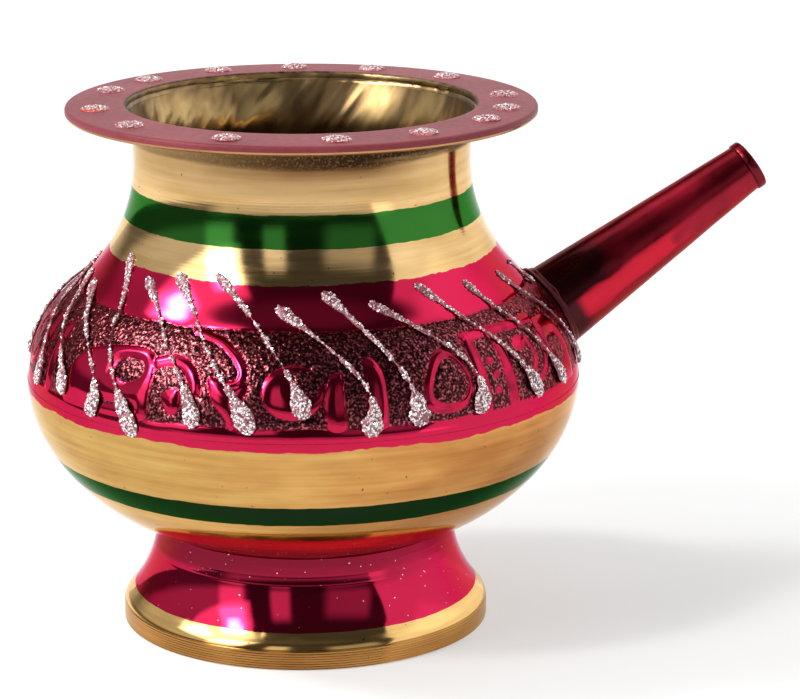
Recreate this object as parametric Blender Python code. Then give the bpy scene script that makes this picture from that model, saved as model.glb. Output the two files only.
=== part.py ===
"""Brass ritual water pot with a straight conical spout.

A turned foot carries a bowl in two halves, lapped at the belly. A flat rim is brazed to the neck and the
spout is let through the shoulder on a spigot. Glitter paste is laid on the rim in dots and on the shoulder
in slanting strokes. Metres, +Z up, the spout along +X, the foot on Z = 0.
"""
import math

import bmesh
import bpy
from mathutils import Vector

# Heights, stacked from the ground up
FOOT_HEIGHT = 0.0190
BOWL_DEPTH = 0.0275
SHOULDER_HEIGHT = 0.0397
NECK_HEIGHT = 0.0084
RIM_THICKNESS = 0.0017

# Pot body, outside
BELLY_RADIUS = 0.0506
SHOULDER_BULGE = 0.0202
NECK_RADIUS = 0.0305
BODY_WALL = 0.0014
BOWL_FULLNESS = 0.0142
BASE_FLAT_RADIUS = 0.0242
BASE_ROUND = 0.0194
BASE_ROUND_ANGLE = 25.7
BASE_RUN_OUT = 0.0052
BELLY_LAP = 0.0020

# Rim
RIM_RADIUS = 0.0426
RIM_DROOP = 0.0002
RIM_EDGE_ROUND = 0.0004
MOUTH_EDGE_ROUND = 0.0014
RIM_REBATE = 0.0006

# Foot
FOOT_RADIUS = 0.0338
FOOT_EDGE_HEIGHT = 0.0026
FOOT_BULGE = 0.0030
FOOT_WAIST_RADIUS = 0.0275
FOOT_WALL = 0.0020

# Spout, measured along its own axis from the outside of the shoulder
SPOUT_RISE = 0.0095
SPOUT_ELEVATION = 33.3
SPOUT_LENGTH = 0.0453
SPOUT_ROOT_RADIUS = 0.00785
SPOUT_TIP_RADIUS = 0.00460
SPOUT_WALL = 0.0008
LIP_RADIUS = 0.00485
LIP_LENGTH = 0.0020
LIP_STEP = 0.0003
SPIGOT_RADIUS = 0.0068
SPIGOT_DEPTH = 0.0030

# Braze fillets. The share sets how near the corner the hollow face comes.
RIM_BRAZE = 0.0012
FOOT_BRAZE = 0.0012
SPOUT_BRAZE_RISE = 0.0018
SPOUT_BRAZE_SPREAD = 0.0024
BRAZE_EDGE = 0.00015
BRAZE_HOLLOW_SHARE = 0.3

# Glitter paste: dots on the rim, by their angles from the spout
DOT_RADIUS = 0.0024
DOT_HEIGHT = 0.0009
DOT_ANGLES = (-3, -24, -42, -68, -93, -122, -155, 178, 148, 128, 103, 80, 57, 31)

# Glitter paste: strokes on the shoulder. Each is laid from a head to a tail. Angles are in degrees from the
# edge of the spout's fillet, heights are above the belly line, the bow is a share of the angle between the
# ends, and fullness is a share of the usual section.
STROKE_HEAD_WIDTH = 0.0024
STROKE_THREAD_WIDTH = 0.0012
STROKE_TAIL_WIDTH = 0.0040
STROKE_HEAD_RISE = 0.0006
STROKE_THREAD_RISE = 0.0004
STROKE_TAIL_RISE = 0.0009
NEAR_STROKE_ANGLES = (
    (6.0, 1.5), (21.5, 5.0), (39.5, 22.7), (56.7, 34.0), (71.8, 53.0),
    (84.2, 66.7), (96.3, 77.3), (115.0, 89.6), (127.5, 99.7), (138.6, 111.6),
    (151.5, 124.5), (164.0, 137.2), (173.0, 146.5), (188.0, 160.5),
)
NEAR_STROKE_HEIGHTS = (
    (0.0210, 0.0165), (0.0212, 0.0020), (0.0218, 0.0023), (0.0229, 0.0023), (0.0209, 0.0025),
    (0.0229, 0.0020), (0.0206, 0.0011), (0.0252, 0.0042), (0.0244, 0.0017), (0.0229, 0.0020),
    (0.0254, -0.0010), (0.0195, 0.0011), (0.0200, 0.0030), (0.0210, 0.0020),
)
NEAR_STROKE_BOW_SHARES = (
    0.18, 0.10, 0.09, 0.16, 0.47, 0.32, 0.45, 0.24, 0.15, 0.25, 0.10, 0.39, 0.20, 0.36,
)
NEAR_STROKE_FULLNESS = (0.5, 0.7, 0.8, 0.9, 1.0, 1.1, 1.1, 1.0, 1.1, 1.0, 1.0, 1.0, 0.9, 0.8)
FAR_STROKE_COUNT = 10
FAR_STROKE_FIRST_ANGLE = 10.0
FAR_STROKE_PITCH_ANGLE = 13.5
FAR_STROKE_LEAN_ANGLE = 20.0
FAR_STROKE_HEAD_HEIGHT = 0.0230
FAR_STROKE_TAIL_HEIGHT = 0.0025
FAR_STROKE_BOW_SHARE = 0.25
FAR_STROKE_FULLNESS = 0.9

# Clearance that every touching pair keeps
GAP = 0.0003

# Fineness of the turned and laid forms
BODY_SEGMENTS = 48
SPOUT_SEGMENTS = 32
DOT_SEGMENTS = 12
MERGE_DISTANCE = 1e-6
SMOOTH_ANGLE = 35.0

# Levels that follow from the stack
belly_z = FOOT_HEIGHT + BOWL_DEPTH
waist_z = belly_z + SHOULDER_HEIGHT
rim_under_z = waist_z + NECK_HEIGHT
rim_top_z = rim_under_z + RIM_THICKNESS
rim_seat_z = rim_under_z + RIM_REBATE


class Ogee:
    """A bulge upright at its widest level, tangent to a hollow that is upright at a higher, narrower one."""

    def __init__(self, wide_radius, wide_z, waist_radius, waist_level, bulge):
        span = wide_radius - waist_radius
        rise = waist_level - wide_z
        hollow = (span ** 2 + rise ** 2) / (2 * span) - bulge
        self.bulge = bulge
        self.hollow = hollow
        self.bulge_centre = (wide_radius - bulge, wide_z)
        self.hollow_centre = (waist_radius + hollow, waist_level)
        self.turn = math.asin(rise / (bulge + hollow))

    def point(self, angle, in_hollow, offset=0.0):
        """A point on either arc, at an angle above level and an outward offset from the outline."""
        if in_hollow:
            reach = self.hollow - offset
            centre = self.hollow_centre
            return (centre[0] - reach * math.cos(angle), centre[1] - reach * math.sin(angle))
        reach = self.bulge + offset
        centre = self.bulge_centre
        return (centre[0] + reach * math.cos(angle), centre[1] + reach * math.sin(angle))

    def radius(self, level, offset=0.0):
        """Radius at a level of the outline moved outward by an offset."""
        if level <= self.point(self.turn, False, offset)[1]:
            reach = self.bulge + offset
            rise = level - self.bulge_centre[1]
            return self.bulge_centre[0] + math.sqrt(reach ** 2 - rise ** 2)
        reach = self.hollow - offset
        rise = level - self.hollow_centre[1]
        return self.hollow_centre[0] - math.sqrt(reach ** 2 - rise ** 2)

    def normal(self, level):
        """Outward normal at a level of the outline, as (radial, upward)."""
        if level <= self.point(self.turn, False)[1]:
            sine = (level - self.bulge_centre[1]) / self.bulge
        else:
            sine = (self.hollow_centre[1] - level) / self.hollow
        return (math.sqrt(1 - sine ** 2), sine)

    def points(self, low, high, bulge_steps, hollow_steps, offset=0.0):
        """Outline points from a level on the bulge up to a level on the hollow."""
        start = math.asin((low - self.bulge_centre[1]) / (self.bulge + offset))
        end = math.asin((self.hollow_centre[1] - high) / (self.hollow - offset))
        points = []
        for i in range(bulge_steps):
            points.append(self.point(blend(start, self.turn, i / bulge_steps), False, offset))
        for i in range(hollow_steps + 1):
            points.append(self.point(blend(self.turn, end, i / hollow_steps), True, offset))
        return points


def blend(first, last, share):
    return first + (last - first) * share


shoulder = Ogee(BELLY_RADIUS, belly_z, NECK_RADIUS, waist_z, SHOULDER_BULGE)
foot_bell = Ogee(FOOT_RADIUS, FOOT_EDGE_HEIGHT, FOOT_WAIST_RADIUS, FOOT_HEIGHT, FOOT_BULGE)


def base_level(radius):
    """Height of the bowl's underside, from its flat out to where the base round ends."""
    across = max(radius - BASE_FLAT_RADIUS, 0.0)
    return FOOT_HEIGHT + BASE_ROUND - math.sqrt(BASE_ROUND ** 2 - across ** 2)


def bowl_points(offset, round_steps=3, side_steps=8):
    """Lower bowl from the edge of its flat up to the belly line, moved outward by an offset."""
    end_angle = math.radians(BASE_ROUND_ANGLE)
    centre = (BASE_FLAT_RADIUS, FOOT_HEIGHT + BASE_ROUND)
    reach = BASE_ROUND + offset
    points = []
    for i in range(round_steps):
        angle = end_angle * i / round_steps
        points.append((centre[0] + reach * math.sin(angle), centre[1] - reach * math.cos(angle)))
    start = Vector(centre) + BASE_ROUND * Vector((math.sin(end_angle), -math.cos(end_angle)))
    leave = start + BASE_RUN_OUT * Vector((math.cos(end_angle), math.sin(end_angle)))
    end = Vector((BELLY_RADIUS, belly_z))
    arrive = end - Vector((0.0, BOWL_FULLNESS))
    for i in range(side_steps + 1):
        t = i / side_steps
        u = 1 - t
        place = u ** 3 * start + 3 * u ** 2 * t * leave + 3 * u * t ** 2 * arrive + t ** 3 * end
        along = u ** 2 * (leave - start) + 2 * u * t * (arrive - leave) + t ** 2 * (end - arrive)
        outward = Vector((along.y, -along.x)).normalized()
        points.append(tuple(place + offset * outward))
    return points


# Where the spout's axis leaves the shoulder, and how far its lip reaches
spout_angle = math.radians(SPOUT_ELEVATION)
spout_root = (shoulder.radius(belly_z + SPOUT_RISE), belly_z + SPOUT_RISE)
spout_reach = spout_root[0] + SPOUT_LENGTH * math.cos(spout_angle) + LIP_RADIUS * math.sin(spout_angle)
fillet_radius = SPOUT_ROOT_RADIUS + GAP + SPOUT_BRAZE_SPREAD
fillet_half_angle = math.degrees(math.asin(fillet_radius / spout_root[0]))

# The pot's axis stands off the origin so that the whole object is centred on it
axis_x = (BELLY_RADIUS - spout_reach) / 2


def clear_scene():
    for old in list(bpy.data.objects):
        bpy.data.objects.remove(old, do_unlink=True)


def make_material(name, colour, roughness, metallic):
    material = bpy.data.materials.new(name)
    material.use_nodes = True
    shader = material.node_tree.nodes["Principled BSDF"]
    shader.inputs["Base Color"].default_value = (*colour, 1.0)
    shader.inputs["Roughness"].default_value = roughness
    shader.inputs["Metallic"].default_value = metallic
    return material


def add_object(name, form, parent, material=None):
    """Give a bmesh a named object under its parent, shaded smooth with its real edges kept sharp."""
    bmesh.ops.remove_doubles(form, verts=form.verts, dist=MERGE_DISTANCE)
    bmesh.ops.recalc_face_normals(form, faces=form.faces)
    mesh = bpy.data.meshes.new(name)
    form.to_mesh(mesh)
    form.free()
    mesh.shade_smooth()
    mesh.set_sharp_from_angle(angle=math.radians(SMOOTH_ANGLE))
    piece = bpy.data.objects.new(name, mesh)
    piece.parent = parent
    bpy.context.scene.collection.objects.link(piece)
    if material:
        mesh.materials.append(material)
    else:
        piece.hide_render = True
        piece.display_type = "WIRE"
    return piece


def turned(name, outline, segments, parent, material=None):
    """Spin an outline of (radius, height) points round Z. One that starts on the axis stays open there."""
    form = bmesh.new()
    points = [form.verts.new((radius, 0.0, height)) for radius, height in outline]
    pairs = list(zip(points, points[1:]))
    if outline[0][0] > 0.0:
        pairs.append((points[-1], points[0]))
    edges = [form.edges.new(pair) for pair in pairs]
    bmesh.ops.spin(form, geom=points + edges, cent=(0, 0, 0), axis=(0, 0, 1), angle=math.tau,
                   steps=segments, use_merge=True)
    return add_object(name, form, parent, material)


def cut(piece, cutter):
    difference = piece.modifiers.new("cut_" + cutter.name, "BOOLEAN")
    difference.operation = "DIFFERENCE"
    difference.solver = "EXACT"
    difference.object = cutter


def make_foot(parent, material):
    """Hollow foot: upright edge, then a bell with a rounded border, cut at its top to the bowl's underside."""
    bore = FOOT_WAIST_RADIUS - FOOT_WALL
    outside = foot_bell.points(FOOT_EDGE_HEIGHT, base_level(FOOT_WAIST_RADIUS) - GAP, 3, 7)
    inside = foot_bell.points(FOOT_EDGE_HEIGHT, base_level(bore) - GAP, 2, 5, -FOOT_WALL)
    outline = [(FOOT_RADIUS, 0.0)] + outside + inside[::-1] + [(inside[0][0], 0.0)]
    turned("foot_ring", outline, BODY_SEGMENTS, parent, material)


def make_foot_braze(parent, material):
    corner = FOOT_WAIST_RADIUS + GAP
    edge = corner + FOOT_BRAZE
    top = base_level(corner) - GAP
    hollow = BRAZE_HOLLOW_SHARE * FOOT_BRAZE
    outline = [(corner, top), (edge, base_level(edge) - GAP), (corner + hollow, top - hollow),
               (corner, top - FOOT_BRAZE)]
    turned("foot_braze", outline, BODY_SEGMENTS, parent, material)


def make_lower_bowl(parent, material):
    """Bowl, rebated inside its upper edge for the shoulder's lip."""
    rebate_radius = BELLY_RADIUS - (BODY_WALL - GAP) / 2
    rebate_z = belly_z - BELLY_LAP - GAP
    outside = [(0.0, FOOT_HEIGHT)] + bowl_points(0.0)
    rebate = [(rebate_radius, belly_z), (rebate_radius, rebate_z), (BELLY_RADIUS - BODY_WALL, rebate_z)]
    inside = [point for point in bowl_points(-BODY_WALL) if point[1] < rebate_z - GAP]
    outline = outside + rebate + inside[::-1] + [(0.0, FOOT_HEIGHT + BODY_WALL)]
    turned("lower_bowl", outline, BODY_SEGMENTS, parent, material)


def make_shoulder(parent, material, spout_hole):
    """Shoulder and neck, its inner half-wall carried down as the lip of the lap, and holed for the spout."""
    skirt = belly_z + GAP
    neck_top = rim_seat_z - GAP
    lip_radius = BELLY_RADIUS - (BODY_WALL + GAP) / 2
    lip_z = belly_z - BELLY_LAP
    outside = shoulder.points(skirt, neck_top, 6, 9)
    inside = shoulder.points(belly_z, neck_top, 5, 7, -BODY_WALL)
    lip = [(BELLY_RADIUS - BODY_WALL, lip_z), (lip_radius, lip_z), (lip_radius, skirt)]
    shell = turned("shoulder_shell", outside + inside[::-1] + lip, BODY_SEGMENTS, parent, material)
    cut(shell, spout_hole)


def make_rim(parent, material):
    """Flat ring with a rolled mouth edge, counterbored underneath to sit over the neck."""
    bore = shoulder.radius(rim_seat_z, -BODY_WALL)
    seat = shoulder.radius(rim_seat_z) + GAP
    mouth_steps = 4
    mouth = []
    for i in range(mouth_steps + 1):
        angle = math.pi / 2 * i / mouth_steps
        across = bore + MOUTH_EDGE_ROUND * (1 - math.cos(angle))
        mouth.append((across, blend(rim_seat_z, rim_top_z, math.sin(angle))))
    edge = [(RIM_RADIUS - RIM_EDGE_ROUND, rim_top_z - RIM_DROOP),
            (RIM_RADIUS, rim_top_z - RIM_DROOP - RIM_EDGE_ROUND),
            (RIM_RADIUS, rim_under_z - RIM_DROOP + RIM_EDGE_ROUND),
            (RIM_RADIUS - RIM_EDGE_ROUND, rim_under_z - RIM_DROOP)]
    outline = mouth + edge + [(seat, rim_under_z), (seat, rim_seat_z)]
    turned("rim_flange", outline, BODY_SEGMENTS, parent, material)


def make_rim_braze(parent, material):
    """Bead of filler in the corner between the neck and the rim, under the rim's slight droop."""
    top = rim_under_z - GAP - RIM_DROOP
    foot = top - RIM_BRAZE
    corner = shoulder.radius(top) + GAP
    hollow = BRAZE_HOLLOW_SHARE * RIM_BRAZE
    outline = [(corner, top), (corner + RIM_BRAZE, top), (corner + hollow, top - hollow),
               (shoulder.radius(foot) + GAP, foot)]
    turned("rim_braze", outline, BODY_SEGMENTS, parent, material)


def spout_radius(along):
    """Outside radius of the cone at a distance along the spout."""
    return blend(SPOUT_ROOT_RADIUS, SPOUT_TIP_RADIUS, along / (SPOUT_LENGTH - LIP_LENGTH))


def lay_on_spout(piece):
    piece.location = (spout_root[0], 0.0, spout_root[1])
    piece.rotation_euler = (0.0, math.pi / 2 - spout_angle, 0.0)


def make_seat_cutter(parent):
    """The pot's outside with the clearance added, bored where the spigot goes through."""
    low = belly_z - SPOUT_ROOT_RADIUS
    outline = [(0.0, low), (BELLY_RADIUS + GAP, low)]
    outline += shoulder.points(belly_z, waist_z, 9, 9, GAP)
    outline.append((0.0, waist_z))
    seat = turned("seat_cutter", outline, BODY_SEGMENTS, parent)
    core = make_bore_cutter("spigot_core", SPIGOT_RADIUS, parent)
    cut(seat, core)
    return seat


def make_bore_cutter(name, radius, parent):
    """Plain cylinder along the spout's axis, through the wall and clear of it on both sides."""
    reach = SPOUT_LENGTH / 2
    outline = [(0.0, -reach), (radius, -reach), (radius, reach), (0.0, reach)]
    cutter = turned(name, outline, SPOUT_SEGMENTS, parent)
    lay_on_spout(cutter)
    return cutter


def make_spout(parent, material, seat):
    """Tapered tube with a stepped lip. The pot's own outside cuts its saddle and leaves the spigot."""
    neck = SPOUT_LENGTH - LIP_LENGTH
    inner_tip = SPOUT_TIP_RADIUS - SPOUT_WALL
    inner_root = SPIGOT_RADIUS - SPOUT_WALL
    cone = [(spout_radius(neck * i / 6), neck * i / 6) for i in range(7)]
    lip = [(LIP_RADIUS, neck + LIP_STEP), (LIP_RADIUS, SPOUT_LENGTH - LIP_STEP),
           (LIP_RADIUS - LIP_STEP, SPOUT_LENGTH)]
    root = [(inner_root, -SPIGOT_DEPTH), (spout_radius(-SPIGOT_DEPTH), -SPIGOT_DEPTH)]
    outline = root + cone + lip + [(inner_tip, SPOUT_LENGTH)]
    tube = turned("spout_tube", outline, SPOUT_SEGMENTS, parent, material)
    lay_on_spout(tube)
    cut(tube, seat)


def make_spout_braze(parent, material, seat):
    """Filler run round the spout's root, its underside cut to the shoulder."""
    low = -SPIGOT_DEPTH
    high = SPOUT_BRAZE_RISE
    top_inner = spout_radius(high) + GAP
    hollow = (top_inner + BRAZE_HOLLOW_SHARE * SPOUT_BRAZE_SPREAD, BRAZE_HOLLOW_SHARE * high)
    outline = [(spout_radius(low) + GAP, low), (fillet_radius, low), hollow,
               (top_inner + BRAZE_EDGE, high), (top_inner, high)]
    collar = turned("spout_braze", outline, SPOUT_SEGMENTS, parent, material)
    lay_on_spout(collar)
    cut(collar, seat)


def make_rim_dots(parent, material):
    middle = (shoulder.radius(rim_seat_z, -BODY_WALL) + MOUTH_EDGE_ROUND + RIM_RADIUS) / 2
    steps = 3
    dome = [(0.0, 0.0)]
    for i in range(steps + 1):
        angle = math.pi / 2 * i / steps
        dome.append((DOT_RADIUS * math.cos(angle), DOT_HEIGHT * math.sin(angle)))
    dome[-1] = (0.0, DOT_HEIGHT)
    for number, degrees in enumerate(DOT_ANGLES, 1):
        dot = turned("rim_glitter_dot_%02d" % number, dome, DOT_SEGMENTS, parent, material)
        angle = math.radians(degrees)
        dot.location = (middle * math.cos(angle), middle * math.sin(angle), rim_top_z + GAP)


def stroke_sections():
    """Share of the stroke's length, width and rise, from the round head down to the drop-shaped tail."""
    head = (STROKE_HEAD_WIDTH, STROKE_HEAD_RISE)
    thread = (STROKE_THREAD_WIDTH, STROKE_THREAD_RISE)
    tail = (STROKE_TAIL_WIDTH, STROKE_TAIL_RISE)
    shares = ((0.0, head, 0.4), (0.05, head, 1.0), (0.13, head, 0.95),
              (0.24, thread, 1.1), (0.35, thread, 1.0), (0.45, thread, 1.0),
              (0.56, thread, 1.0), (0.66, thread, 1.1),
              (0.79, tail, 0.7), (0.89, tail, 1.0), (0.96, tail, 0.8), (1.0, tail, 0.3))
    return [(share, size[0] * part, size[1] * part) for share, size, part in shares]


def on_shoulder(degrees, level):
    """A point on the shoulder's outside and the outward normal there."""
    angle = math.radians(degrees)
    radius = shoulder.radius(level)
    radial, upward = shoulder.normal(level)
    place = Vector((radius * math.cos(angle), radius * math.sin(angle), level))
    return place, Vector((radial * math.cos(angle), radial * math.sin(angle), upward))


def make_stroke(name, head, tail, bow_share, fullness, parent, material):
    """Bead of half-round section laid on the shoulder, bowed a little between its head and its tail."""
    def place_at(share):
        bow = bow_share * (tail[0] - head[0]) * 4 * share * (1 - share)
        degrees = blend(head[0], tail[0], share) + bow
        return on_shoulder(degrees, belly_z + blend(head[1], tail[1], share))

    form = bmesh.new()
    rings = []
    nudge = 0.01
    for share, width, rise in stroke_sections():
        place, normal = place_at(share)
        along = place_at(min(share + nudge, 1.0))[0] - place_at(max(share - nudge, 0.0))[0]
        across = normal.cross(along).normalized()
        ring = []
        for i in range(5):
            angle = math.pi * i / 4
            lift = GAP + rise * fullness * math.sin(angle)
            aside = width * fullness / 2 * math.cos(angle)
            ring.append(form.verts.new(place + normal * lift + across * aside))
        rings.append(ring)
    for near, far in zip(rings, rings[1:]):
        for i in range(5):
            j = (i + 1) % 5
            form.faces.new((near[i], near[j], far[j], far[i]))
    form.faces.new(rings[0])
    form.faces.new(rings[-1])
    add_object(name, form, parent, material)


def make_strokes(parent, material):
    laid = []
    for angles, heights, bow, fullness in zip(NEAR_STROKE_ANGLES, NEAR_STROKE_HEIGHTS,
                                              NEAR_STROKE_BOW_SHARES, NEAR_STROKE_FULLNESS):
        head, tail = [(-fillet_half_angle - angle, height) for angle, height in zip(angles, heights)]
        laid.append((head, tail, bow, fullness))
    for i in range(FAR_STROKE_COUNT):
        degrees = fillet_half_angle + FAR_STROKE_FIRST_ANGLE + FAR_STROKE_PITCH_ANGLE * i
        head = (degrees, FAR_STROKE_HEAD_HEIGHT)
        tail = (degrees + FAR_STROKE_LEAN_ANGLE, FAR_STROKE_TAIL_HEIGHT)
        laid.append((head, tail, FAR_STROKE_BOW_SHARE, FAR_STROKE_FULLNESS))
    for number, (head, tail, bow, fullness) in enumerate(laid, 1):
        make_stroke("glitter_stroke_%02d" % number, head, tail, bow, fullness, parent, material)


def main():
    clear_scene()
    pot_axis = bpy.data.objects.new("pot_axis", None)
    pot_axis.location = (axis_x, 0.0, 0.0)
    bpy.context.scene.collection.objects.link(pot_axis)

    brass = make_material("polished_brass", (0.72, 0.47, 0.17), 0.22, 1.0)
    pink_foot = make_material("pink_lacquer_foot", (0.62, 0.02, 0.09), 0.12, 0.8)
    pink_shoulder = make_material("pink_lacquer_shoulder", (0.55, 0.02, 0.08), 0.15, 0.8)
    mauve = make_material("mauve_lacquer_rim", (0.38, 0.11, 0.15), 0.30, 0.6)
    red = make_material("red_lacquer_spout", (0.40, 0.01, 0.03), 0.12, 0.8)
    filler = make_material("braze_filler", (0.12, 0.07, 0.03), 0.60, 0.9)
    glitter = make_material("silver_glitter", (0.75, 0.70, 0.70), 0.35, 0.7)

    seat = make_seat_cutter(pot_axis)
    spout_hole = make_bore_cutter("spout_hole_cutter", SPIGOT_RADIUS + GAP, pot_axis)
    make_foot(pot_axis, pink_foot)
    make_foot_braze(pot_axis, filler)
    make_lower_bowl(pot_axis, brass)
    make_shoulder(pot_axis, pink_shoulder, spout_hole)
    make_rim(pot_axis, mauve)
    make_rim_braze(pot_axis, filler)
    make_spout(pot_axis, red, seat)
    make_spout_braze(pot_axis, filler, seat)
    make_rim_dots(pot_axis, glitter)
    make_strokes(pot_axis, glitter)
    bpy.context.view_layer.update()


main()
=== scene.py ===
import math

import bmesh
import bpy
import numpy as np
from mathutils import Matrix, Vector


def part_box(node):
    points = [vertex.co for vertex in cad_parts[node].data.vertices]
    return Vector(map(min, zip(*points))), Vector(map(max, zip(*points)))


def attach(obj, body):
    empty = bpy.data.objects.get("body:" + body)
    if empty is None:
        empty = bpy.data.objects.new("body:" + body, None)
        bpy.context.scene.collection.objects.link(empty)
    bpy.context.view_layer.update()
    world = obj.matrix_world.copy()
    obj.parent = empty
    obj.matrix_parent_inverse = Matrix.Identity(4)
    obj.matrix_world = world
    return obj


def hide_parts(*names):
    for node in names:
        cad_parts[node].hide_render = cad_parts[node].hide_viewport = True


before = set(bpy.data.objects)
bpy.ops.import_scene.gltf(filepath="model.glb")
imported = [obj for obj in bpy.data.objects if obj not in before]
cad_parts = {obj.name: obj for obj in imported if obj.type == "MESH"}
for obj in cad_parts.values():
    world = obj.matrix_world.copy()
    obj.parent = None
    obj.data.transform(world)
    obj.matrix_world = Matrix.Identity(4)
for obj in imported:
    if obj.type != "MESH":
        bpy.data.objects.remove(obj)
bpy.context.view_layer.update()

# Sizes in millimetres from the pot's axis and the ground, as the solids have them
MM = 0.001
AXIS_X = sum(corner.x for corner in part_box("foot_ring")) / 2
FOOT_TOP_Z = 19.0
BELLY_Z = 46.5
WAIST_Z = 86.2
RIM_UNDER_Z = 94.6
RIM_SEAT_Z = 95.2
RIM_TOP_Z = 96.3
BELLY_RADIUS = 50.6
NECK_RADIUS = 30.5
SHOULDER_BULGE = 20.2
BODY_WALL = 1.4
BOWL_FULLNESS = 14.2
BASE_FLAT_RADIUS = 24.2
BASE_ROUND = 19.4
BASE_ROUND_ANGLE = math.radians(25.7)
BASE_RUN_OUT = 5.2
RIM_RADIUS = 42.6
RIM_DROOP = 0.2
RIM_EDGE_ROUND = 0.6
MOUTH_FLARE = 1.1
MOUTH_EDGE_ROUND = 0.45
FOOT_RADIUS = 33.8
FOOT_EDGE_Z = 2.6
FOOT_BULGE = 3.0
FOOT_WAIST_RADIUS = 27.5
FOOT_WALL = 2.0
SPOUT_Z = 56.0
SPOUT_ELEVATION = math.radians(33.3)
SPOUT_LENGTH = 45.3
SPOUT_ROOT_RADIUS = 7.85
SPOUT_TIP_RADIUS = 4.60
SPOUT_WALL = 0.8
LIP_RADIUS = 4.85
LIP_LENGTH = 2.0
SPIGOT_RADIUS = 6.8
SPIGOT_DEPTH = 3.0
SPOUT_HOLE = 7.1
DOT_RADIUS = 2.4
DOT_HEIGHT = 0.9

# Levels where one coat, stain, painted shade or ground ends and the next begins
FOOT_GROOVED_Z = 3.6
FOOT_PINK_Z = 6.1
FOOT_SHADE_Z = 14.2
LOWER_GREEN = (30.0, 34.1)
PINK_LOW_Z = 45.2
CHASED_LOW_Z = 48.8
CHASED_HIGH_Z = 63.9
PINK_HIGH_Z = 70.4
NECK_GREEN = (76.1, 81.7)
NECK_TARNISH_AND_SHADE_Z = 89.3

# Gap that shows where one piece seats on another
SEAT_GAP = 0.05

NOISE_CELLS = 1024
TAU = math.tau


class Ogee:
    """A bulge upright at its widest level, tangent to a hollow that is upright at a higher, narrower one."""

    def __init__(self, wide, wide_z, waist, waist_z, bulge):
        span = wide - waist
        rise = waist_z - wide_z
        self.bulge = bulge
        self.hollow = (span ** 2 + rise ** 2) / (2 * span) - bulge
        self.bulge_centre = (wide - bulge, wide_z)
        self.hollow_centre = (waist + self.hollow, waist_z)
        self.turn = math.asin(rise / (bulge + self.hollow))

    def turn_z(self, offset=0.0):
        """Level where the bulge, moved outward by an offset, passes into the hollow."""
        return self.bulge_centre[1] + (self.bulge + offset) * math.sin(self.turn)

    def radius(self, z, offset=0.0):
        z = np.asarray(z, float)
        below = np.sqrt(np.maximum((self.bulge + offset) ** 2 - (z - self.bulge_centre[1]) ** 2, 0.0))
        above = np.sqrt(np.maximum((self.hollow - offset) ** 2 - (z - self.hollow_centre[1]) ** 2, 0.0))
        low = z <= self.turn_z(offset)
        return np.where(low, self.bulge_centre[0] + below, self.hollow_centre[0] - above)

    def rise(self, z):
        """Upward part of the outward normal."""
        z = np.asarray(z, float)
        below = (z - self.bulge_centre[1]) / self.bulge
        above = (self.hollow_centre[1] - z) / self.hollow
        return np.where(z <= self.turn_z(), below, above)

    def arc(self, z):
        """Length along the outline above its widest level."""
        z = np.asarray(z, float)
        below = self.bulge * np.arcsin(np.clip((z - self.bulge_centre[1]) / self.bulge, -1, 1))
        above = self.turn - np.arcsin(np.clip((self.hollow_centre[1] - z) / self.hollow, -1, 1))
        return np.where(z <= self.turn_z(), below, self.bulge * self.turn + self.hollow * above)


shoulder = Ogee(BELLY_RADIUS, BELLY_Z, NECK_RADIUS, WAIST_Z, SHOULDER_BULGE)
foot_bell = Ogee(FOOT_RADIUS, FOOT_EDGE_Z, FOOT_WAIST_RADIUS, FOOT_TOP_Z, FOOT_BULGE)
MOUTH_RADIUS = float(shoulder.radius(RIM_SEAT_Z, -BODY_WALL)) + MOUTH_FLARE


def value_noise(x, y, seed, columns=NOISE_CELLS):
    """Smooth noise from 0 to 1 on unit cells, which repeats after a number of cells along x."""
    table = np.random.default_rng(seed).random((NOISE_CELLS, NOISE_CELLS))
    cell_x = np.floor(x).astype(int)
    cell_y = np.floor(y).astype(int)
    u = x - cell_x
    v = y - cell_y
    u = u * u * (3 - 2 * u)
    v = v * v * (3 - 2 * v)

    def corner(i, j):
        return table[(cell_x + i) % columns, (cell_y + j) % NOISE_CELLS]

    low = corner(0, 0) * (1 - u) + corner(1, 0) * u
    high = corner(0, 1) * (1 - u) + corner(1, 1) * u
    return low * (1 - v) + high * v


def ring_noise(angles, cells, seed, along=0.0):
    """Smooth noise in a whole number of cells round a ring, which changes along its axis."""
    return value_noise(angles / TAU * cells, along, seed, cells)


def smoothstep(low, high, x):
    t = np.clip((x - low) / (high - low), 0.0, 1.0)
    return t * t * (3 - 2 * t)


def unit(vectors):
    return vectors / np.linalg.norm(vectors, axis=1)[:, None]


def round_angles(count):
    return np.arange(count) * TAU / count


def turn(radius, z, angles):
    """Points at radii, heights and angles round an axis, which are spread over each other."""
    return np.stack(np.broadcast_arrays(radius * np.cos(angles), radius * np.sin(angles), z), -1)


def grid_faces(rows, columns, wrap_rows=False):
    """Quads of a grid whose columns close on themselves, and with wrap_rows its rows as well."""
    last = rows if wrap_rows else rows - 1
    i, j = np.meshgrid(np.arange(last), np.arange(columns), indexing="ij")
    above = (i + 1) % rows
    beside = (j + 1) % columns
    corners = (i * columns + j, i * columns + beside, above * columns + beside, above * columns + j)
    return np.stack([c.ravel() for c in corners], -1)


def fan_faces(first, columns, tip, flip):
    """Triangles from a ring of points to one tip."""
    j = np.arange(columns)
    a = first + j
    b = first + (j + 1) % columns
    tips = np.full(columns, tip)
    return np.stack([b, a, tips] if flip else [a, b, tips], -1)


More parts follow.
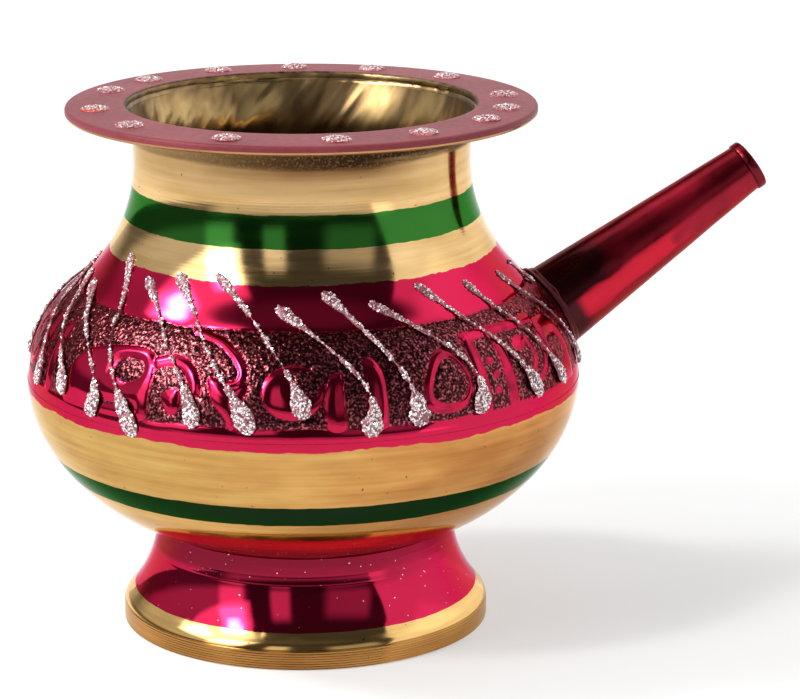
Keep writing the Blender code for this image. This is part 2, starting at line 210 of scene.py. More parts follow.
def add_piece(name, points, face_sets, materials, node, face_materials=None, smooth_angle=None):
    """Make a piece from points in millimetres, let it ride on the part and stand for its solid."""
    corners = np.concatenate([faces.ravel() for faces in face_sets]).astype(np.int32)
    sizes = np.concatenate([np.full(len(faces), faces.shape[1]) for faces in face_sets])
    starts = np.concatenate(([0], np.cumsum(sizes)[:-1])).astype(np.int32)
    mesh = bpy.data.meshes.new(name)
    mesh.vertices.add(len(points))
    mesh.vertices.foreach_set("co", (np.asarray(points) * MM).astype(np.float32).ravel())
    mesh.loops.add(len(corners))
    mesh.loops.foreach_set("vertex_index", corners)
    mesh.polygons.add(len(starts))
    mesh.polygons.foreach_set("loop_start", starts)
    if face_materials is not None:
        mesh.polygons.foreach_set("material_index", np.asarray(face_materials).astype(np.int32))
    mesh.update(calc_edges=True)
    mesh.validate()
    mesh.shade_smooth()
    if smooth_angle:
        mesh.set_sharp_from_angle(angle=math.radians(smooth_angle))
    for material in materials:
        mesh.materials.append(material)
    piece = bpy.data.objects.new(name, mesh)
    piece.location = (AXIS_X, 0.0, 0.0)
    bpy.context.scene.collection.objects.link(piece)
    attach(piece, "root")
    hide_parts(node)
    return piece


def add_rings(name, points, materials, node, rows=None, smooth_angle=None, flip=False):
    """Make a piece from closed rings of points, the last joined to the first, with one material per row."""
    columns = points.shape[1]
    faces = grid_faces(len(points), columns, wrap_rows=True)
    if flip:
        faces = faces[:, ::-1]
    kinds = None if rows is None else np.repeat(rows, columns)
    return add_piece(name, points.reshape(-1, 3), [faces], materials, node, kinds, smooth_angle)


def mark_points(piece, name, values):
    attribute = piece.data.attributes.new(name, "FLOAT", "POINT")
    attribute.data.foreach_set("value", values.astype(np.float32).ravel())


# Materials


class Nodes:
    """A node tree, with short names for the nodes that colour and light are made of."""

    def __init__(self, tree):
        self.tree = tree

    def put(self, socket, value):
        if isinstance(value, bpy.types.NodeSocket):
            self.tree.links.new(value, socket)
        else:
            socket.default_value = value

    def add(self, kind, inputs=None, **settings):
        made = self.tree.nodes.new("ShaderNode" + kind)
        for key, value in settings.items():
            setattr(made, key, value)
        for key, value in (inputs or {}).items():
            self.put(made.inputs[key], value)
        return made

    def maths(self, operation, first, second=0.0):
        return self.add("Math", {0: first, 1: second}, operation=operation).outputs[0]

    def plus(self, first, second):
        return self.maths("ADD", first, second)

    def times(self, result, *factors):
        for factor in factors:
            result = self.maths("MULTIPLY", result, factor)
        return result

    def span(self, value, low, high, to_low=0.0, to_high=1.0, smooth=False):
        kind = "SMOOTHSTEP" if smooth else "LINEAR"
        inputs = {"Value": value, "From Min": low, "From Max": high, "To Min": to_low, "To Max": to_high}
        return self.add("MapRange", inputs, interpolation_type=kind).outputs[0]

    def vary(self, noise, to_low=0.0, to_high=1.0):
        """The range that a noise mostly takes, spread from one value to another."""
        return self.span(noise, 0.3, 0.7, to_low, to_high)

    def mix(self, factor, first, second, blend="MIX"):
        made = self.add("Mix", {0: factor}, data_type="RGBA", blend_type=blend)
        for index, value in ((6, first), (7, second)):
            self.put(made.inputs[index], (*value, 1.0) if isinstance(value, tuple) else value)
        return made.outputs[2]

    def place(self):
        return self.add("TexCoord").outputs["Object"]

    def across_and_up(self):
        """Millimetres from the pot's axis towards the spout, and above the ground."""
        scaled = self.add("VectorMath", {0: self.place(), "Scale": 1 / MM}, operation="SCALE").outputs[0]
        across, _, height = self.add("SeparateXYZ", {0: scaled}).outputs
        return across, height

    def noise(self, scale, stretch=(1.0, 1.0, 1.0), detail=3.0):
        """Noise with a number of cells per metre, stretched along the object's axes."""
        spread = self.add("Mapping", {"Vector": self.place(), "Scale": stretch}).outputs[0]
        return self.add("TexNoise", {"Vector": spread, "Scale": scale, "Detail": detail}).outputs[0]

    def bump(self, height, depth, normal=None):
        inputs = {"Height": height, "Strength": 1.0, "Distance": depth}
        if normal:
            inputs["Normal"] = normal
        return self.add("Bump", inputs).outputs[0]

    def turned_lines(self, per_metre, depth, normal=None):
        """Bump of fine rings left by the lathe."""
        height = self.add("SeparateXYZ", {0: self.place()}).outputs[2]
        along = {"W": self.times(height, per_metre), "Scale": 1.0, "Detail": 2.0}
        return self.bump(self.add("TexNoise", along, noise_dimensions="1D").outputs[0], depth, normal)


class Surface(Nodes):
    """A surface material, with constants set on its own sockets."""

    def __init__(self, name, **sockets):
        self.material = bpy.data.materials.new(name)
        self.material.use_nodes = True
        super().__init__(self.material.node_tree)
        self.shader = self.tree.nodes["Principled BSDF"]
        for key, value in sockets.items():
            self.shader.inputs[key.replace("_", " ").title().replace("Ior", "IOR")].default_value = value

    def marked(self, name):
        """Factor that is marked on the points of the mesh."""
        return self.add("Attribute", attribute_name=name).outputs["Fac"]

    def done(self, colour, roughness=None, normal=None):
        for socket, value in (("Base Color", colour), ("Roughness", roughness), ("Normal", normal)):
            if value:
                self.put(self.shader.inputs[socket], value)
        return self.material


# Tints that a metal keeps when it is seen aslant
BRASS_EDGE = (1.0, 0.90, 0.74, 1.0)
PINK_EDGE = (0.90, 0.28, 0.38, 1.0)
GREEN_EDGE = (0.42, 0.62, 0.42, 1.0)
RED_EDGE = (0.75, 0.16, 0.20, 1.0)

PINK = (0.55, 0.012, 0.064)
PINK_DARK = (0.49, 0.010, 0.052)
# Painted shade on the foot under the bowl
PINK_SHADE = (0.14, 0.005, 0.017)
# Grime with painted shade on the chased band
PINK_GRIMY_AND_SHADED = (0.22, 0.008, 0.028)
GROUND_DARK = (0.040, 0.005, 0.008)
GROUND_POINTS = (0.44, 0.105, 0.120)
RED_DARK = (0.21, 0.006, 0.016)
RED = (0.32, 0.010, 0.026)
# Painted shade on the spout, also the colour of its dark seam filler
RED_SHADE_AND_SEAM = (0.050, 0.005, 0.008)
# Painted reflection along the spout's lower side
RED_PAINTED_REFLECTION = (0.52, 0.011, 0.030)
PIT = (0.25, 0.12, 0.05)
SPECK = (0.85, 0.75, 0.75)
# Tarnish and crust on the neck, with painted shade under the rim and across the front
TARNISH_AND_SHADE = (0.17, 0.080, 0.030)
CRUST_AND_SHADE_DARK = (0.026, 0.013, 0.007)
CRUST_AND_SHADE_LIGHT = (0.15, 0.080, 0.030)
# Painted reflections on the bowl: paler on its left, redder and darker on its right
BOWL_REFLECTION_TINTS = ((1.04, 1.27, 1.35), (0.90, 0.72, 0.72))

BRASS_LINES_PER_METRE = 2500.0
LACQUER_LINES_PER_METRE = 1600.0
LACQUER_LINE_DEPTH = 2e-6
COAT_IOR = 1.36
FLUTE_LEAN = math.radians(38.0)
ALONG_RINGS = (0.06, 0.06, 1.0)


def make_brass(name, light, dark, rough, line_depth, tarnish_and_shade_z=None, reflection_tints=None):
    """Polished brass with turned lines. Below a level, if one is given, it is browned by tarnish and painted
    shade, most in the middle, and above it black with crust and painted shade under the rim.

    Two tints, if given, colour it from its left to its right in uneven patches, as painted reflections.
    """
    look = Surface(name, metallic=1.0, specular_tint=BRASS_EDGE)
    stain = look.times(look.noise(60.0, (1.0, 1.0, 3.0), 4.0), 0.6)
    stain = look.plus(stain, look.times(look.noise(1100.0, (0.03, 0.03, 1.0)), 0.4))
    colour = look.mix(look.span(stain, 0.35, 0.62), dark, light)
    colour = look.mix(look.span(look.noise(1300.0, detail=0.0), 0.83, 0.88), colour, PIT)
    roughness = look.vary(look.noise(900.0, (0.15, 0.15, 1.0)), *rough)
    across, height = look.across_and_up()
    # Painted reflection: a tint that changes from left to right
    if reflection_tints:
        patches = look.vary(look.noise(90.0, (0.7, 0.7, 2.5), 5.0), -16.0, 16.0)
        reflection_tint = look.mix(look.span(look.plus(across, patches), -40.0, 34.0), *reflection_tints)
        colour = look.mix(1.0, colour, reflection_tint, "MULTIPLY")
    # Tarnish with painted shade: brown below the level, strongest in the middle and weakest on the right
    if tarnish_and_shade_z:
        level = look.plus(height, look.vary(look.noise(420.0, ALONG_RINGS, 4.0), -1.1, 1.1))
        sides = look.times(look.span(across, -30.0, -8.0, 0.45, 1.0), look.span(across, 6.0, 20.0, 1.0, 0.25))
        brown_tarnish_and_shade = look.times(look.span(level, tarnish_and_shade_z - 7.0, tarnish_and_shade_z + 0.5), sides)
        colour = look.mix(brown_tarnish_and_shade, colour, TARNISH_AND_SHADE)
        # Crust with painted shade: a black band just under the rim, weaker on the left
        crust_and_shade_under_rim = look.times(look.span(level, tarnish_and_shade_z, tarnish_and_shade_z + 1.3, smooth=True),
                           look.span(across, -28.0, 2.0, 0.45, 1.0))
        crust = look.span(look.noise(2400.0, detail=1.0), 0.50, 0.75)
        colour = look.mix(crust_and_shade_under_rim, colour, look.mix(crust, CRUST_AND_SHADE_DARK, CRUST_AND_SHADE_LIGHT))
        roughness = look.plus(roughness, look.times(crust_and_shade_under_rim, 0.25))
    return look.done(colour, roughness, look.turned_lines(BRASS_LINES_PER_METRE, line_depth))


def make_aged_brass():
    """Inside of the neck and belly: hammered in leaning flutes, streaked and darkened by water."""
    look = Surface("aged_brass_inside", metallic=1.0)
    lean = {"Vector": look.place(), "Rotation": (0.0, FLUTE_LEAN, 0.0), "Scale": (1.0, 1.0, 4.0)}
    leaning = look.add("Mapping", lean, vector_type="TEXTURE").outputs[0]
    flutes = look.add("TexNoise", {"Vector": leaning, "Scale": 170.0, "Detail": 2.0}).outputs[0]
    blots = look.noise(110.0, (1.0, 1.0, 0.6), 4.0)
    tone = look.times(look.span(flutes, 0.38, 0.60, 0.15, 1.0), look.span(blots, 0.30, 0.62))
    colour = look.mix(tone, (0.15, 0.090, 0.042), (0.56, 0.38, 0.16))
    return look.done(colour, look.vary(blots, 0.38, 0.22), look.bump(flutes, 0.0009))


def make_lacquer(name, light, dark, rough, edge, coat=0.2, speck=0.0, shade_z=None):
    """Clear tinted lacquer on polished brass. Above a level, if one is given, it is darkened by painted
    shade, less towards the right.
    """
    look = Surface(name, metallic=1.0, coat_weight=coat, coat_roughness=0.04, coat_ior=COAT_IOR,
                   specular_tint=edge)
    colour = look.mix(look.vary(look.noise(45.0)), dark, light)
    # Painted shade above the level, stronger on the left than on the right
    if shade_z:
        across, height = look.across_and_up()
        level = look.plus(height, look.vary(look.noise(500.0, ALONG_RINGS, 4.0), -1.2, 1.2))
        painted_shade_and_dark_seam = look.times(look.span(level, shade_z - 2.5, shade_z + 2.5, smooth=True),
                          look.span(across, 4.0, 20.0, 0.85, 0.35))
        colour = look.mix(painted_shade_and_dark_seam, colour, PINK_SHADE)
    if speck:
        grain = look.noise(2200.0, detail=0.0)
        colour = look.mix(look.span(grain, 1 - speck, 1.02 - speck), colour, SPECK)
    roughness = look.vary(look.noise(600.0, (0.2, 0.2, 1.0)), *rough)
    return look.done(colour, roughness, look.turned_lines(LACQUER_LINES_PER_METRE, LACQUER_LINE_DEPTH))


def make_chased_lacquer():
    """Pink lacquer on the shoulder. The punched ground, marked on the mesh, is dark with pinkish points, and
    the band is darkened by grime and painted shade, mostly on the right.
    """
    look = Surface("pink_lacquer_chased", metallic=1.0, coat_weight=0.2, coat_roughness=0.05,
                   coat_ior=COAT_IOR, specular_tint=PINK_EDGE)
    ground = look.marked("ground")
    grain = look.noise(2300.0, detail=0.5)
    across, height = look.across_and_up()
    band = look.times(look.span(height, CHASED_LOW_Z, CHASED_LOW_Z + 1.0),
                      look.span(height, CHASED_HIGH_Z - 1.0, CHASED_HIGH_Z, 1.0, 0.0),
                      look.span(across, -18.0, 8.0, 0.05, 1.0))
    # Grime with painted shade, which fades out towards the left
    grime_and_shade = look.times(band, look.span(look.noise(300.0), 0.38, 0.66, 0.0, 0.8))
    smooth = look.mix(look.vary(look.noise(45.0)), PINK_DARK, PINK)
    smooth = look.mix(grime_and_shade, smooth, PINK_GRIMY_AND_SHADED)
    rough = look.mix(look.span(grain, 0.50, 0.72), GROUND_DARK, GROUND_POINTS)
    roughness = look.span(ground, 0.0, 1.0, look.span(grime_and_shade, 0.0, 0.8, 0.08, 0.20), 0.28)
    pits = look.bump(look.times(grain, ground), 0.00011)
    lines = look.turned_lines(LACQUER_LINES_PER_METRE, LACQUER_LINE_DEPTH, pits)
    return look.done(look.mix(ground, smooth, rough), roughness, lines)


def make_rim_lacquer():
    """Opaque mauve lacquer, dull from handling."""
    look = Surface("mauve_lacquer_rim", ior=1.2)
    cloud = look.noise(60.0)
    fine = look.noise(800.0)
    tone = look.plus(look.times(cloud, 0.7), look.times(fine, 0.3))
    colour = look.mix(look.span(tone, 0.35, 0.65), (0.190, 0.033, 0.043), (0.265, 0.055, 0.066))
    return look.done(colour, look.vary(fine, 0.34, 0.46), look.bump(cloud, 4e-5))


def make_spout_lacquer():
    """Clear red lacquer, with a streak of painted reflection, and painted shade with the dark seam filler,
    marked on the mesh.
    """
    look = Surface("red_lacquer_spout", metallic=1.0, coat_weight=0.3, coat_roughness=0.08,
                   coat_ior=COAT_IOR, specular_tint=RED_EDGE)
    cloud = look.noise(160.0)
    thick = look.mix(look.vary(cloud), RED_DARK, RED)
    # Painted shade on the upper side, root and lip, and the dark seam filler
    thick = look.mix(look.marked("painted_shade_and_dark_seam"), thick, RED_SHADE_AND_SEAM)
    # Painted reflection: a bright streak
    colour = look.mix(look.marked("painted_reflection"), thick, RED_PAINTED_REFLECTION)
    return look.done(colour, look.vary(cloud, 0.24, 0.34), look.bump(look.noise(220.0, detail=1.0), 0.0001))


def make_rough(name, dark, light, rough, metallic, scale, depth):
    """Dull material with uneven tone and a lumpy skin, for braze and paste."""
    look = Surface(name, metallic=metallic)
    lumps = look.noise(scale, detail=4.0)
    colour = look.mix(look.span(lumps, 0.35, 0.65), dark, light)
    return look.done(colour, look.vary(lumps, *rough), look.bump(lumps, depth))


def make_paste(name, dark, light, scale):
    return make_rough(name, dark, light, (0.25, 0.5), 0.1, scale, 0.0001)


def make_flake_material(name, dark, light):
    look = Surface(name, metallic=0.3)
    tone = look.noise(2100.0, detail=0.0)
    return look.done(look.mix(look.span(tone, 0.36, 0.54), dark, light), look.vary(tone, 0.12, 0.30))


neck_brass = make_brass("brass_neck", (0.84, 0.57, 0.27), (0.62, 0.39, 0.15), (0.07, 0.14), 5e-6,
                        NECK_TARNISH_AND_SHADE_Z)
bowl_brass = make_brass("brass_bowl", (0.64, 0.340, 0.101), (0.46, 0.205, 0.054), (0.07, 0.13), 3e-6,
                        reflection_tints=BOWL_REFLECTION_TINTS)
foot_brass = make_brass("brass_foot", (0.84, 0.54, 0.20), (0.66, 0.40, 0.13), (0.06, 0.14), 3e-6)
foot_edge_brass = make_brass("brass_foot_edge", (0.50, 0.25, 0.07), (0.34, 0.15, 0.04), (0.10, 0.20), 3e-6)
edge_brass = make_brass("brass_rim_edge", (0.52, 0.29, 0.13), (0.30, 0.155, 0.07), (0.14, 0.26), 3e-6)
aged_brass = make_aged_brass()
chased_lacquer = make_chased_lacquer()
foot_lacquer = make_lacquer("pink_lacquer_foot", PINK, PINK_DARK, (0.04, 0.09), PINK_EDGE,
                            speck=0.165, shade_z=FOOT_SHADE_Z)
bowl_lacquer = make_lacquer("pink_lacquer_bowl", PINK, PINK_DARK, (0.08, 0.16), PINK_EDGE)
neck_green = make_lacquer("green_lacquer_neck", (0.032, 0.170, 0.022), (0.022, 0.120, 0.015), (0.08, 0.15),
                          GREEN_EDGE, 0.15)
bowl_green = make_lacquer("green_lacquer_bowl", (0.0075, 0.022, 0.0065), (0.005, 0.015, 0.005), (0.08, 0.15),
                          GREEN_EDGE, 0.1)
rim_lacquer = make_rim_lacquer()
spout_lacquer = make_spout_lacquer()
braze = make_rough("braze_filler", (0.030, 0.016, 0.008), (0.20, 0.11, 0.05), (0.35, 0.7), 0.7, 700.0, 0.0002)
paste = make_paste("glitter_paste", (0.16, 0.03, 0.045), (0.46, 0.18, 0.21), 1900.0)
dot_paste = make_paste("glitter_paste_rim", (0.30, 0.04, 0.05), (0.62, 0.22, 0.24), 1500.0)
red_paste = make_paste("glitter_paste_red", (0.55, 0.045, 0.020), (0.80, 0.12, 0.06), 1500.0)
flake_silver = make_flake_material("silver_flakes", (0.40, 0.21, 0.24), (1.0, 0.97, 0.97))
flake_rim = make_flake_material("silver_flakes_rim", (0.42, 0.20, 0.21), (0.86, 0.72, 0.71))


# Turned pieces. Lines on the foot are given as height, depth and half width, and the bead under the bowl as
# distances out from the foot's waist and up from its top.

TURNED_COLUMNS = 360
EDGE_ROWS = 60
GROOVE_PITCH = 0.45
GROOVE_DEPTH = 0.05
FOOT_LINES = ((13.6, 0.020, 0.16), (15.3, 0.012, 0.12), (16.9, 0.018, 0.18))
FOOT_BEAD = ((-0.15, -0.45), (0.06, -0.50), (0.22, -0.20), (0.36, 0.06), (0.50, 0.30), (-0.15, 0.22))
COAT_WAVES = ((40, 0.9), (120, 0.6), (260, 0.4), (520, 0.3))
COAT_WAVE_MEAN = 1.1
COAT_WAVE_FADE = 0.8
RIM_BEAD_LEAST = 0.45
RIM_BEAD_GROWTH = 0.75

# How far the edge of each coat wanders, from the lowest up
FOOT_WANDER = (0.12,)
BOWL_WANDER = (0.15, 0.15, 0.55)
SHOULDER_WANDER = (0.30, 0.15, 0.15)


def wavy_levels(levels, marks, angles, seed):
    """Rows of height. Those near a mark, given with its reach, wander as the edge of a brushed coat does."""
    levels = np.asarray(levels)[:, None]
    rows = np.repeat(levels, len(angles), 1)
    for number, (mark, reach) in enumerate(marks):
        wave = -COAT_WAVE_MEAN
        for cells, part in COAT_WAVES:
            wave = wave + part * ring_noise(angles, cells, seed + 9 * number + cells)
        rows += reach * wave * np.exp(-((levels - mark) / COAT_WAVE_FADE) ** 2)
    return rows


def spans(*marks_and_counts):
    """Levels from mark to mark, given as mark, count, mark, count, mark."""
    marks = marks_and_counts[0::2]
    counts = marks_and_counts[1::2]
    parts = [np.linspace(a, b, n, endpoint=False) for a, b, n in zip(marks, marks[1:], counts)]
    return np.concatenate(parts + [[marks[-1]]])


def band_of(levels, marks):
    """Number of the coat on each row of faces, counted up from the lowest."""
    middles = (levels[:-1] + levels[1:]) / 2
    return np.searchsorted(np.asarray(marks), middles)


def make_foot():
    """Hollow bell foot with a grooved edge, a bright brass border and fine turned lines on its pink flare."""
    angles = round_angles(TURNED_COLUMNS)
    edge_levels = np.linspace(0.0, FOOT_GROOVED_Z, EDGE_ROWS)
    flare_levels = spans(FOOT_GROOVED_Z + 0.08, 26, FOOT_PINK_Z, 84, FOOT_TOP_Z - SEAT_GAP)
    levels = np.concatenate([edge_levels, flare_levels])
    radius = foot_bell.radius(np.maximum(levels, FOOT_EDGE_Z))
    grooves = 0.5 - 0.5 * np.cos(TAU * edge_levels / GROOVE_PITCH)
    radius[:EDGE_ROWS] -= GROOVE_DEPTH * grooves * (edge_levels < FOOT_GROOVED_Z - 0.2)
    for z, depth, width in FOOT_LINES:
        radius = radius - depth * np.exp(-((levels - z) / width) ** 2)
    rows_z = wavy_levels(levels, zip((FOOT_PINK_Z,), FOOT_WANDER), angles, 21)
    outside = turn(radius[:, None], rows_z, angles)
    inner_z = np.concatenate([np.linspace(FOOT_TOP_Z - 0.1, FOOT_EDGE_Z, 16), [0.0]])
    inner_radius = foot_bell.radius(np.maximum(inner_z, FOOT_EDGE_Z), -FOOT_WALL)
    points = np.concatenate([outside, turn(inner_radius[:, None], inner_z[:, None], angles)])
    rows = np.full(len(points), 2)
    rows[:len(levels) - 1] = band_of(levels, (FOOT_PINK_Z,))
    rows[:EDGE_ROWS - 1] = 3
    materials = (foot_brass, foot_lacquer, aged_brass, foot_edge_brass)
    add_rings("foot", points, materials, "foot_ring", rows, 40.0)


def make_foot_braze():
    """Thin lacquered bead in the corner between foot and bowl."""
    angles = round_angles(240)
    bead = np.array(FOOT_BEAD)
    radius = FOOT_WAIST_RADIUS + bead[:, :1] * (0.85 + 0.3 * ring_noise(angles, 30, 25))
    points = turn(radius, FOOT_TOP_Z + bead[:, 1:], angles)
    add_rings("foot_seam", points, (foot_lacquer,), "foot_braze")


def bowl_outline(offset, count):
    """Outline of the lower bowl from the edge of its flat to the belly line, as radius and height."""
    share = np.linspace(0.0, 1.0, count // 3, endpoint=False)[:, None]
    angle = BASE_ROUND_ANGLE * share
    centre = np.array([BASE_FLAT_RADIUS, FOOT_TOP_Z + BASE_ROUND])
    low = centre + (BASE_ROUND + offset) * np.concatenate([np.sin(angle), -np.cos(angle)], 1)
    start = centre + BASE_ROUND * np.array([math.sin(BASE_ROUND_ANGLE), -math.cos(BASE_ROUND_ANGLE)])
    leave = start + BASE_RUN_OUT * np.array([math.cos(BASE_ROUND_ANGLE), math.sin(BASE_ROUND_ANGLE)])
    end = np.array([BELLY_RADIUS, BELLY_Z])
    arrive = end - np.array([0.0, BOWL_FULLNESS])
    t = np.linspace(0.0, 1.0, count)[:, None]
    u = 1 - t
    place = u ** 3 * start + 3 * u ** 2 * t * leave + 3 * u * t ** 2 * arrive + t ** 3 * end
    along = u ** 2 * (leave - start) + 2 * u * t * (arrive - leave) + t ** 2 * (end - arrive)
    outward = unit(np.stack([along[:, 1], -along[:, 0]], -1))
    return np.concatenate([low, place + offset * outward])


def make_bowl():
    """Lower half of the pot with its green and pink bands, flat inside and under the middle."""
    angles = round_angles(TURNED_COLUMNS)
    columns = len(angles)
    outline = bowl_outline(0.0, 240)
    marks = (*LOWER_GREEN, PINK_LOW_Z)
    levels = spans(FOOT_TOP_Z + 0.02, 40, marks[0], 16, marks[1], 44, marks[2], 8, BELLY_Z - 0.03, 1, BELLY_Z)
    rows_z = wavy_levels(levels, zip(marks, BOWL_WANDER), angles, 31)
    outside = turn(np.interp(rows_z, outline[:, 1], outline[:, 0]), rows_z, angles)
    inner = bowl_outline(-BODY_WALL, 40)[::-1]
    rings = np.concatenate([outside, turn(inner[:, :1], inner[:, 1:], angles)])
    tips = np.array([[0.0, 0.0, FOOT_TOP_Z], [0.0, 0.0, FOOT_TOP_Z + BODY_WALL]])
    points = np.concatenate([rings.reshape(-1, 3), tips])
    faces = grid_faces(len(rings), columns)
    under = fan_faces(0, columns, len(points) - 2, True)
    floor = fan_faces((len(rings) - 1) * columns, columns, len(points) - 1, False)
    rows = np.full(len(rings) - 1, 3)
    rows[:len(levels) - 1] = np.array([0, 1, 0, 2])[band_of(levels, marks)]
    kinds = np.concatenate([np.repeat(rows, columns), np.zeros(columns), np.full(columns, 3)])
    materials = (bowl_brass, bowl_green, bowl_lacquer, aged_brass)
    add_piece("bowl", points, [faces, under, floor], materials, "lower_bowl", kinds, 50.0)


def make_rim():
    """Flat lacquered ring with a rolled mouth and a bare brass edge."""
    angles = round_angles(256)
    seat = float(shoulder.radius(RIM_SEAT_Z)) + SEAT_GAP
    sweep = np.linspace(0.0, math.pi / 2, 8)
    flat = np.linspace(0.0, 1.0, 14)[1:-1]
    corner = RIM_RADIUS - RIM_EDGE_ROUND
    top = RIM_TOP_Z - RIM_DROOP
    under = RIM_UNDER_Z - RIM_DROOP
    mouth_radius = MOUTH_RADIUS + MOUTH_EDGE_ROUND * (1 - np.cos(sweep))
    mouth = np.stack([mouth_radius, RIM_SEAT_Z + (RIM_TOP_Z - RIM_SEAT_Z) * np.sin(sweep)], -1)
    face = mouth[-1] + flat[:, None] * (np.array([corner, top]) - mouth[-1])
    cos = RIM_EDGE_ROUND * np.cos(sweep)
    sin = RIM_EDGE_ROUND * np.sin(sweep)
    upper_round = np.stack([corner + sin, top - RIM_EDGE_ROUND + cos], -1)
    lower_round = np.stack([corner + cos, under + RIM_EDGE_ROUND - sin], -1)
    back = np.array([[seat, RIM_UNDER_Z], [seat, RIM_SEAT_Z]])
    outline = np.concatenate([mouth, face, upper_round, lower_round, back])[::-1]
    points = turn(outline[:, :1], outline[:, 1:], angles)
    rows = np.zeros(len(points))
    rows[:len(back)] = 2
    rows[len(back):len(back) + len(lower_round) - 1] = 1
    rows[-len(mouth):] = 2
    rows[-len(mouth):3 - len(mouth)] = 3
    materials = (rim_lacquer, edge_brass, aged_brass, braze)
    add_rings("rim", points, materials, "rim_flange", rows, 45.0)


def make_rim_braze():
    """Uneven bead of dark filler in the corner under the rim."""
    angles = round_angles(420)
    top = RIM_UNDER_Z - RIM_DROOP - 0.02
    swell = 0.35 + 0.65 * ring_noise(angles, 9, 62)
    leg = RIM_BEAD_LEAST + RIM_BEAD_GROWTH * ring_noise(angles, 70, 61) * swell
    sweep = np.linspace(math.pi / 2, 0.0, 7)[:, None]
    corner = float(shoulder.radius(top - 0.6))
    bead_radius = corner - 0.15 + leg * (1.1 - np.sin(sweep) * 0.85)
    bead_z = top - leg * (1.1 - np.cos(sweep) * 0.95) + 0.15 * leg
    radius = np.concatenate([np.full((1, len(angles)), corner - 0.25), bead_radius])
    z = np.concatenate([np.full((1, len(angles)), top), np.minimum(bead_z, top)])
    add_rings("rim_seam", turn(radius, z, angles), (braze,), "rim_braze")


# Chased band: smooth forms left standing in a punched ground, and ground sunk again into a form. Places are
# angles from the spout and heights. A line ends with its half width, an oval with its half sizes and tilt.

FORMS = (
    ("leave", "outline", ((-160, 48.0), (-159, 55.0), (-156, 58.0), (-150, 59.3), (-145, 60.0), (-139, 60.3),
        (-136, 59.6), (-134.6, 57.0), (-134.9, 53.0), (-134.8, 48.0))),
    ("sink", "outline", ((-145.3, 57.4), (-143.0, 58.4), (-139.5, 58.5), (-137.3, 57.7), (-137.2, 56.0),
        (-139.0, 54.9), (-142.0, 54.1), (-144.5, 55.3))),
    ("sink", "line", ((-147.5, 50.3), (-143.0, 50.6), (-138.5, 50.3)), 0.22),
    ("leave", "line", ((-134.5, 58.4), (-131.0, 59.2), (-127.5, 58.5), (-125.0, 56.3), (-124.6, 54.6)), 1.15),
    ("leave", "oval", (-125.6, 54.2), 1.1, 0.9, 0.0),
    ("leave", "outline", ((-132.2, 53.2), (-130.0, 54.7), (-128.0, 54.9), (-127.2, 52.5), (-128.0, 50.6),
        (-129.8, 50.0))),
    ("leave", "line", ((-128.0, 63.4), (-121.0, 62.4), (-117.0, 60.5), (-114.7, 58.2), (-115.3, 56.4),
        (-117.5, 55.9)), 0.85),
    ("leave", "outline", ((-122.6, 57.2), (-120.3, 57.0), (-117.5, 56.2), (-114.3, 56.8), (-113.3, 55.5),
        (-114.3, 54.3), (-115.5, 51.0), (-115.5, 48.0), (-117.2, 48.0), (-117.4, 50.2),
        (-121.0, 53.3))),
    ("leave", "oval", (-104.4, 55.2), 5.4, 4.9, 0.0),
    ("sink", "outline", ((-104.8, 58.4), (-99.0, 58.9), (-97.8, 57.4), (-99.8, 53.9), (-102.0, 55.0),
        (-104.5, 57.3))),
    ("leave", "outline", ((-98.4, 53.0), (-97.2, 57.3), (-95.5, 58.3), (-94.0, 58.0), (-93.6, 48.0),
        (-97.3, 48.0))),
    ("leave", "outline", ((-89.3, 48.0), (-89.3, 59.5), (-88.0, 60.6), (-86.0, 59.0), (-85.2, 57.0),
        (-85.2, 48.0))),
    ("leave", "outline", ((-77.6, 52.6), (-76.6, 55.6), (-74.4, 58.6), (-71.6, 60.4), (-69.0, 60.2),
        (-66.2, 57.6), (-65.3, 54.2), (-66.4, 51.4), (-69.5, 49.9), (-74.0, 49.9),
        (-76.6, 50.8))),
    ("sink", "outline", ((-75.6, 52.9), (-74.8, 55.4), (-73.0, 57.6), (-70.8, 58.9), (-68.7, 58.6),
        (-66.9, 56.4), (-66.3, 54.0), (-67.6, 52.1), (-70.2, 51.3), (-73.4, 51.6))),
    ("leave", "outline", ((-64.2, 48.0), (-64.2, 62.0), (-61.4, 62.0), (-61.2, 48.0))),
    ("leave", "outline", ((-56.2, 48.0), (-56.2, 60.6), (-53.2, 60.6), (-53.2, 48.0))),
    ("leave", "line", ((-63.5, 61.0), (-56.0, 61.4), (-48.0, 61.2), (-38.0, 61.0)), 0.95),
    ("leave", "oval", (-59.2, 57.0), 0.9, 0.6, 0.0),
    ("leave", "oval", (-58.4, 54.6), 0.9, 0.6, 30.0),
    ("leave", "oval", (-58.8, 52.0), 0.8, 0.6, 0.0),
    ("leave", "oval", (-47.7, 58.3), 2.2, 1.3, 12.0),
    ("leave", "line", ((-44.6, 58.4), (-43.8, 56.0), (-44.8, 54.0), (-46.8, 53.0)), 0.55),
    ("leave", "line", ((-39.0, 58.0), (-39.6, 54.5), (-42.0, 52.2), (-46.0, 51.0), (-49.0, 51.4)), 0.60),
    ("leave", "outline", ((-38.0, 60.6), (-30.0, 60.4), (-27.0, 58.0), (-26.5, 48.0), (-37.5, 48.0))),
    ("sink", "outline", ((-36.8, 57.3), (-31.0, 57.6), (-29.5, 56.0), (-30.0, 52.0), (-36.0, 51.5))),
)

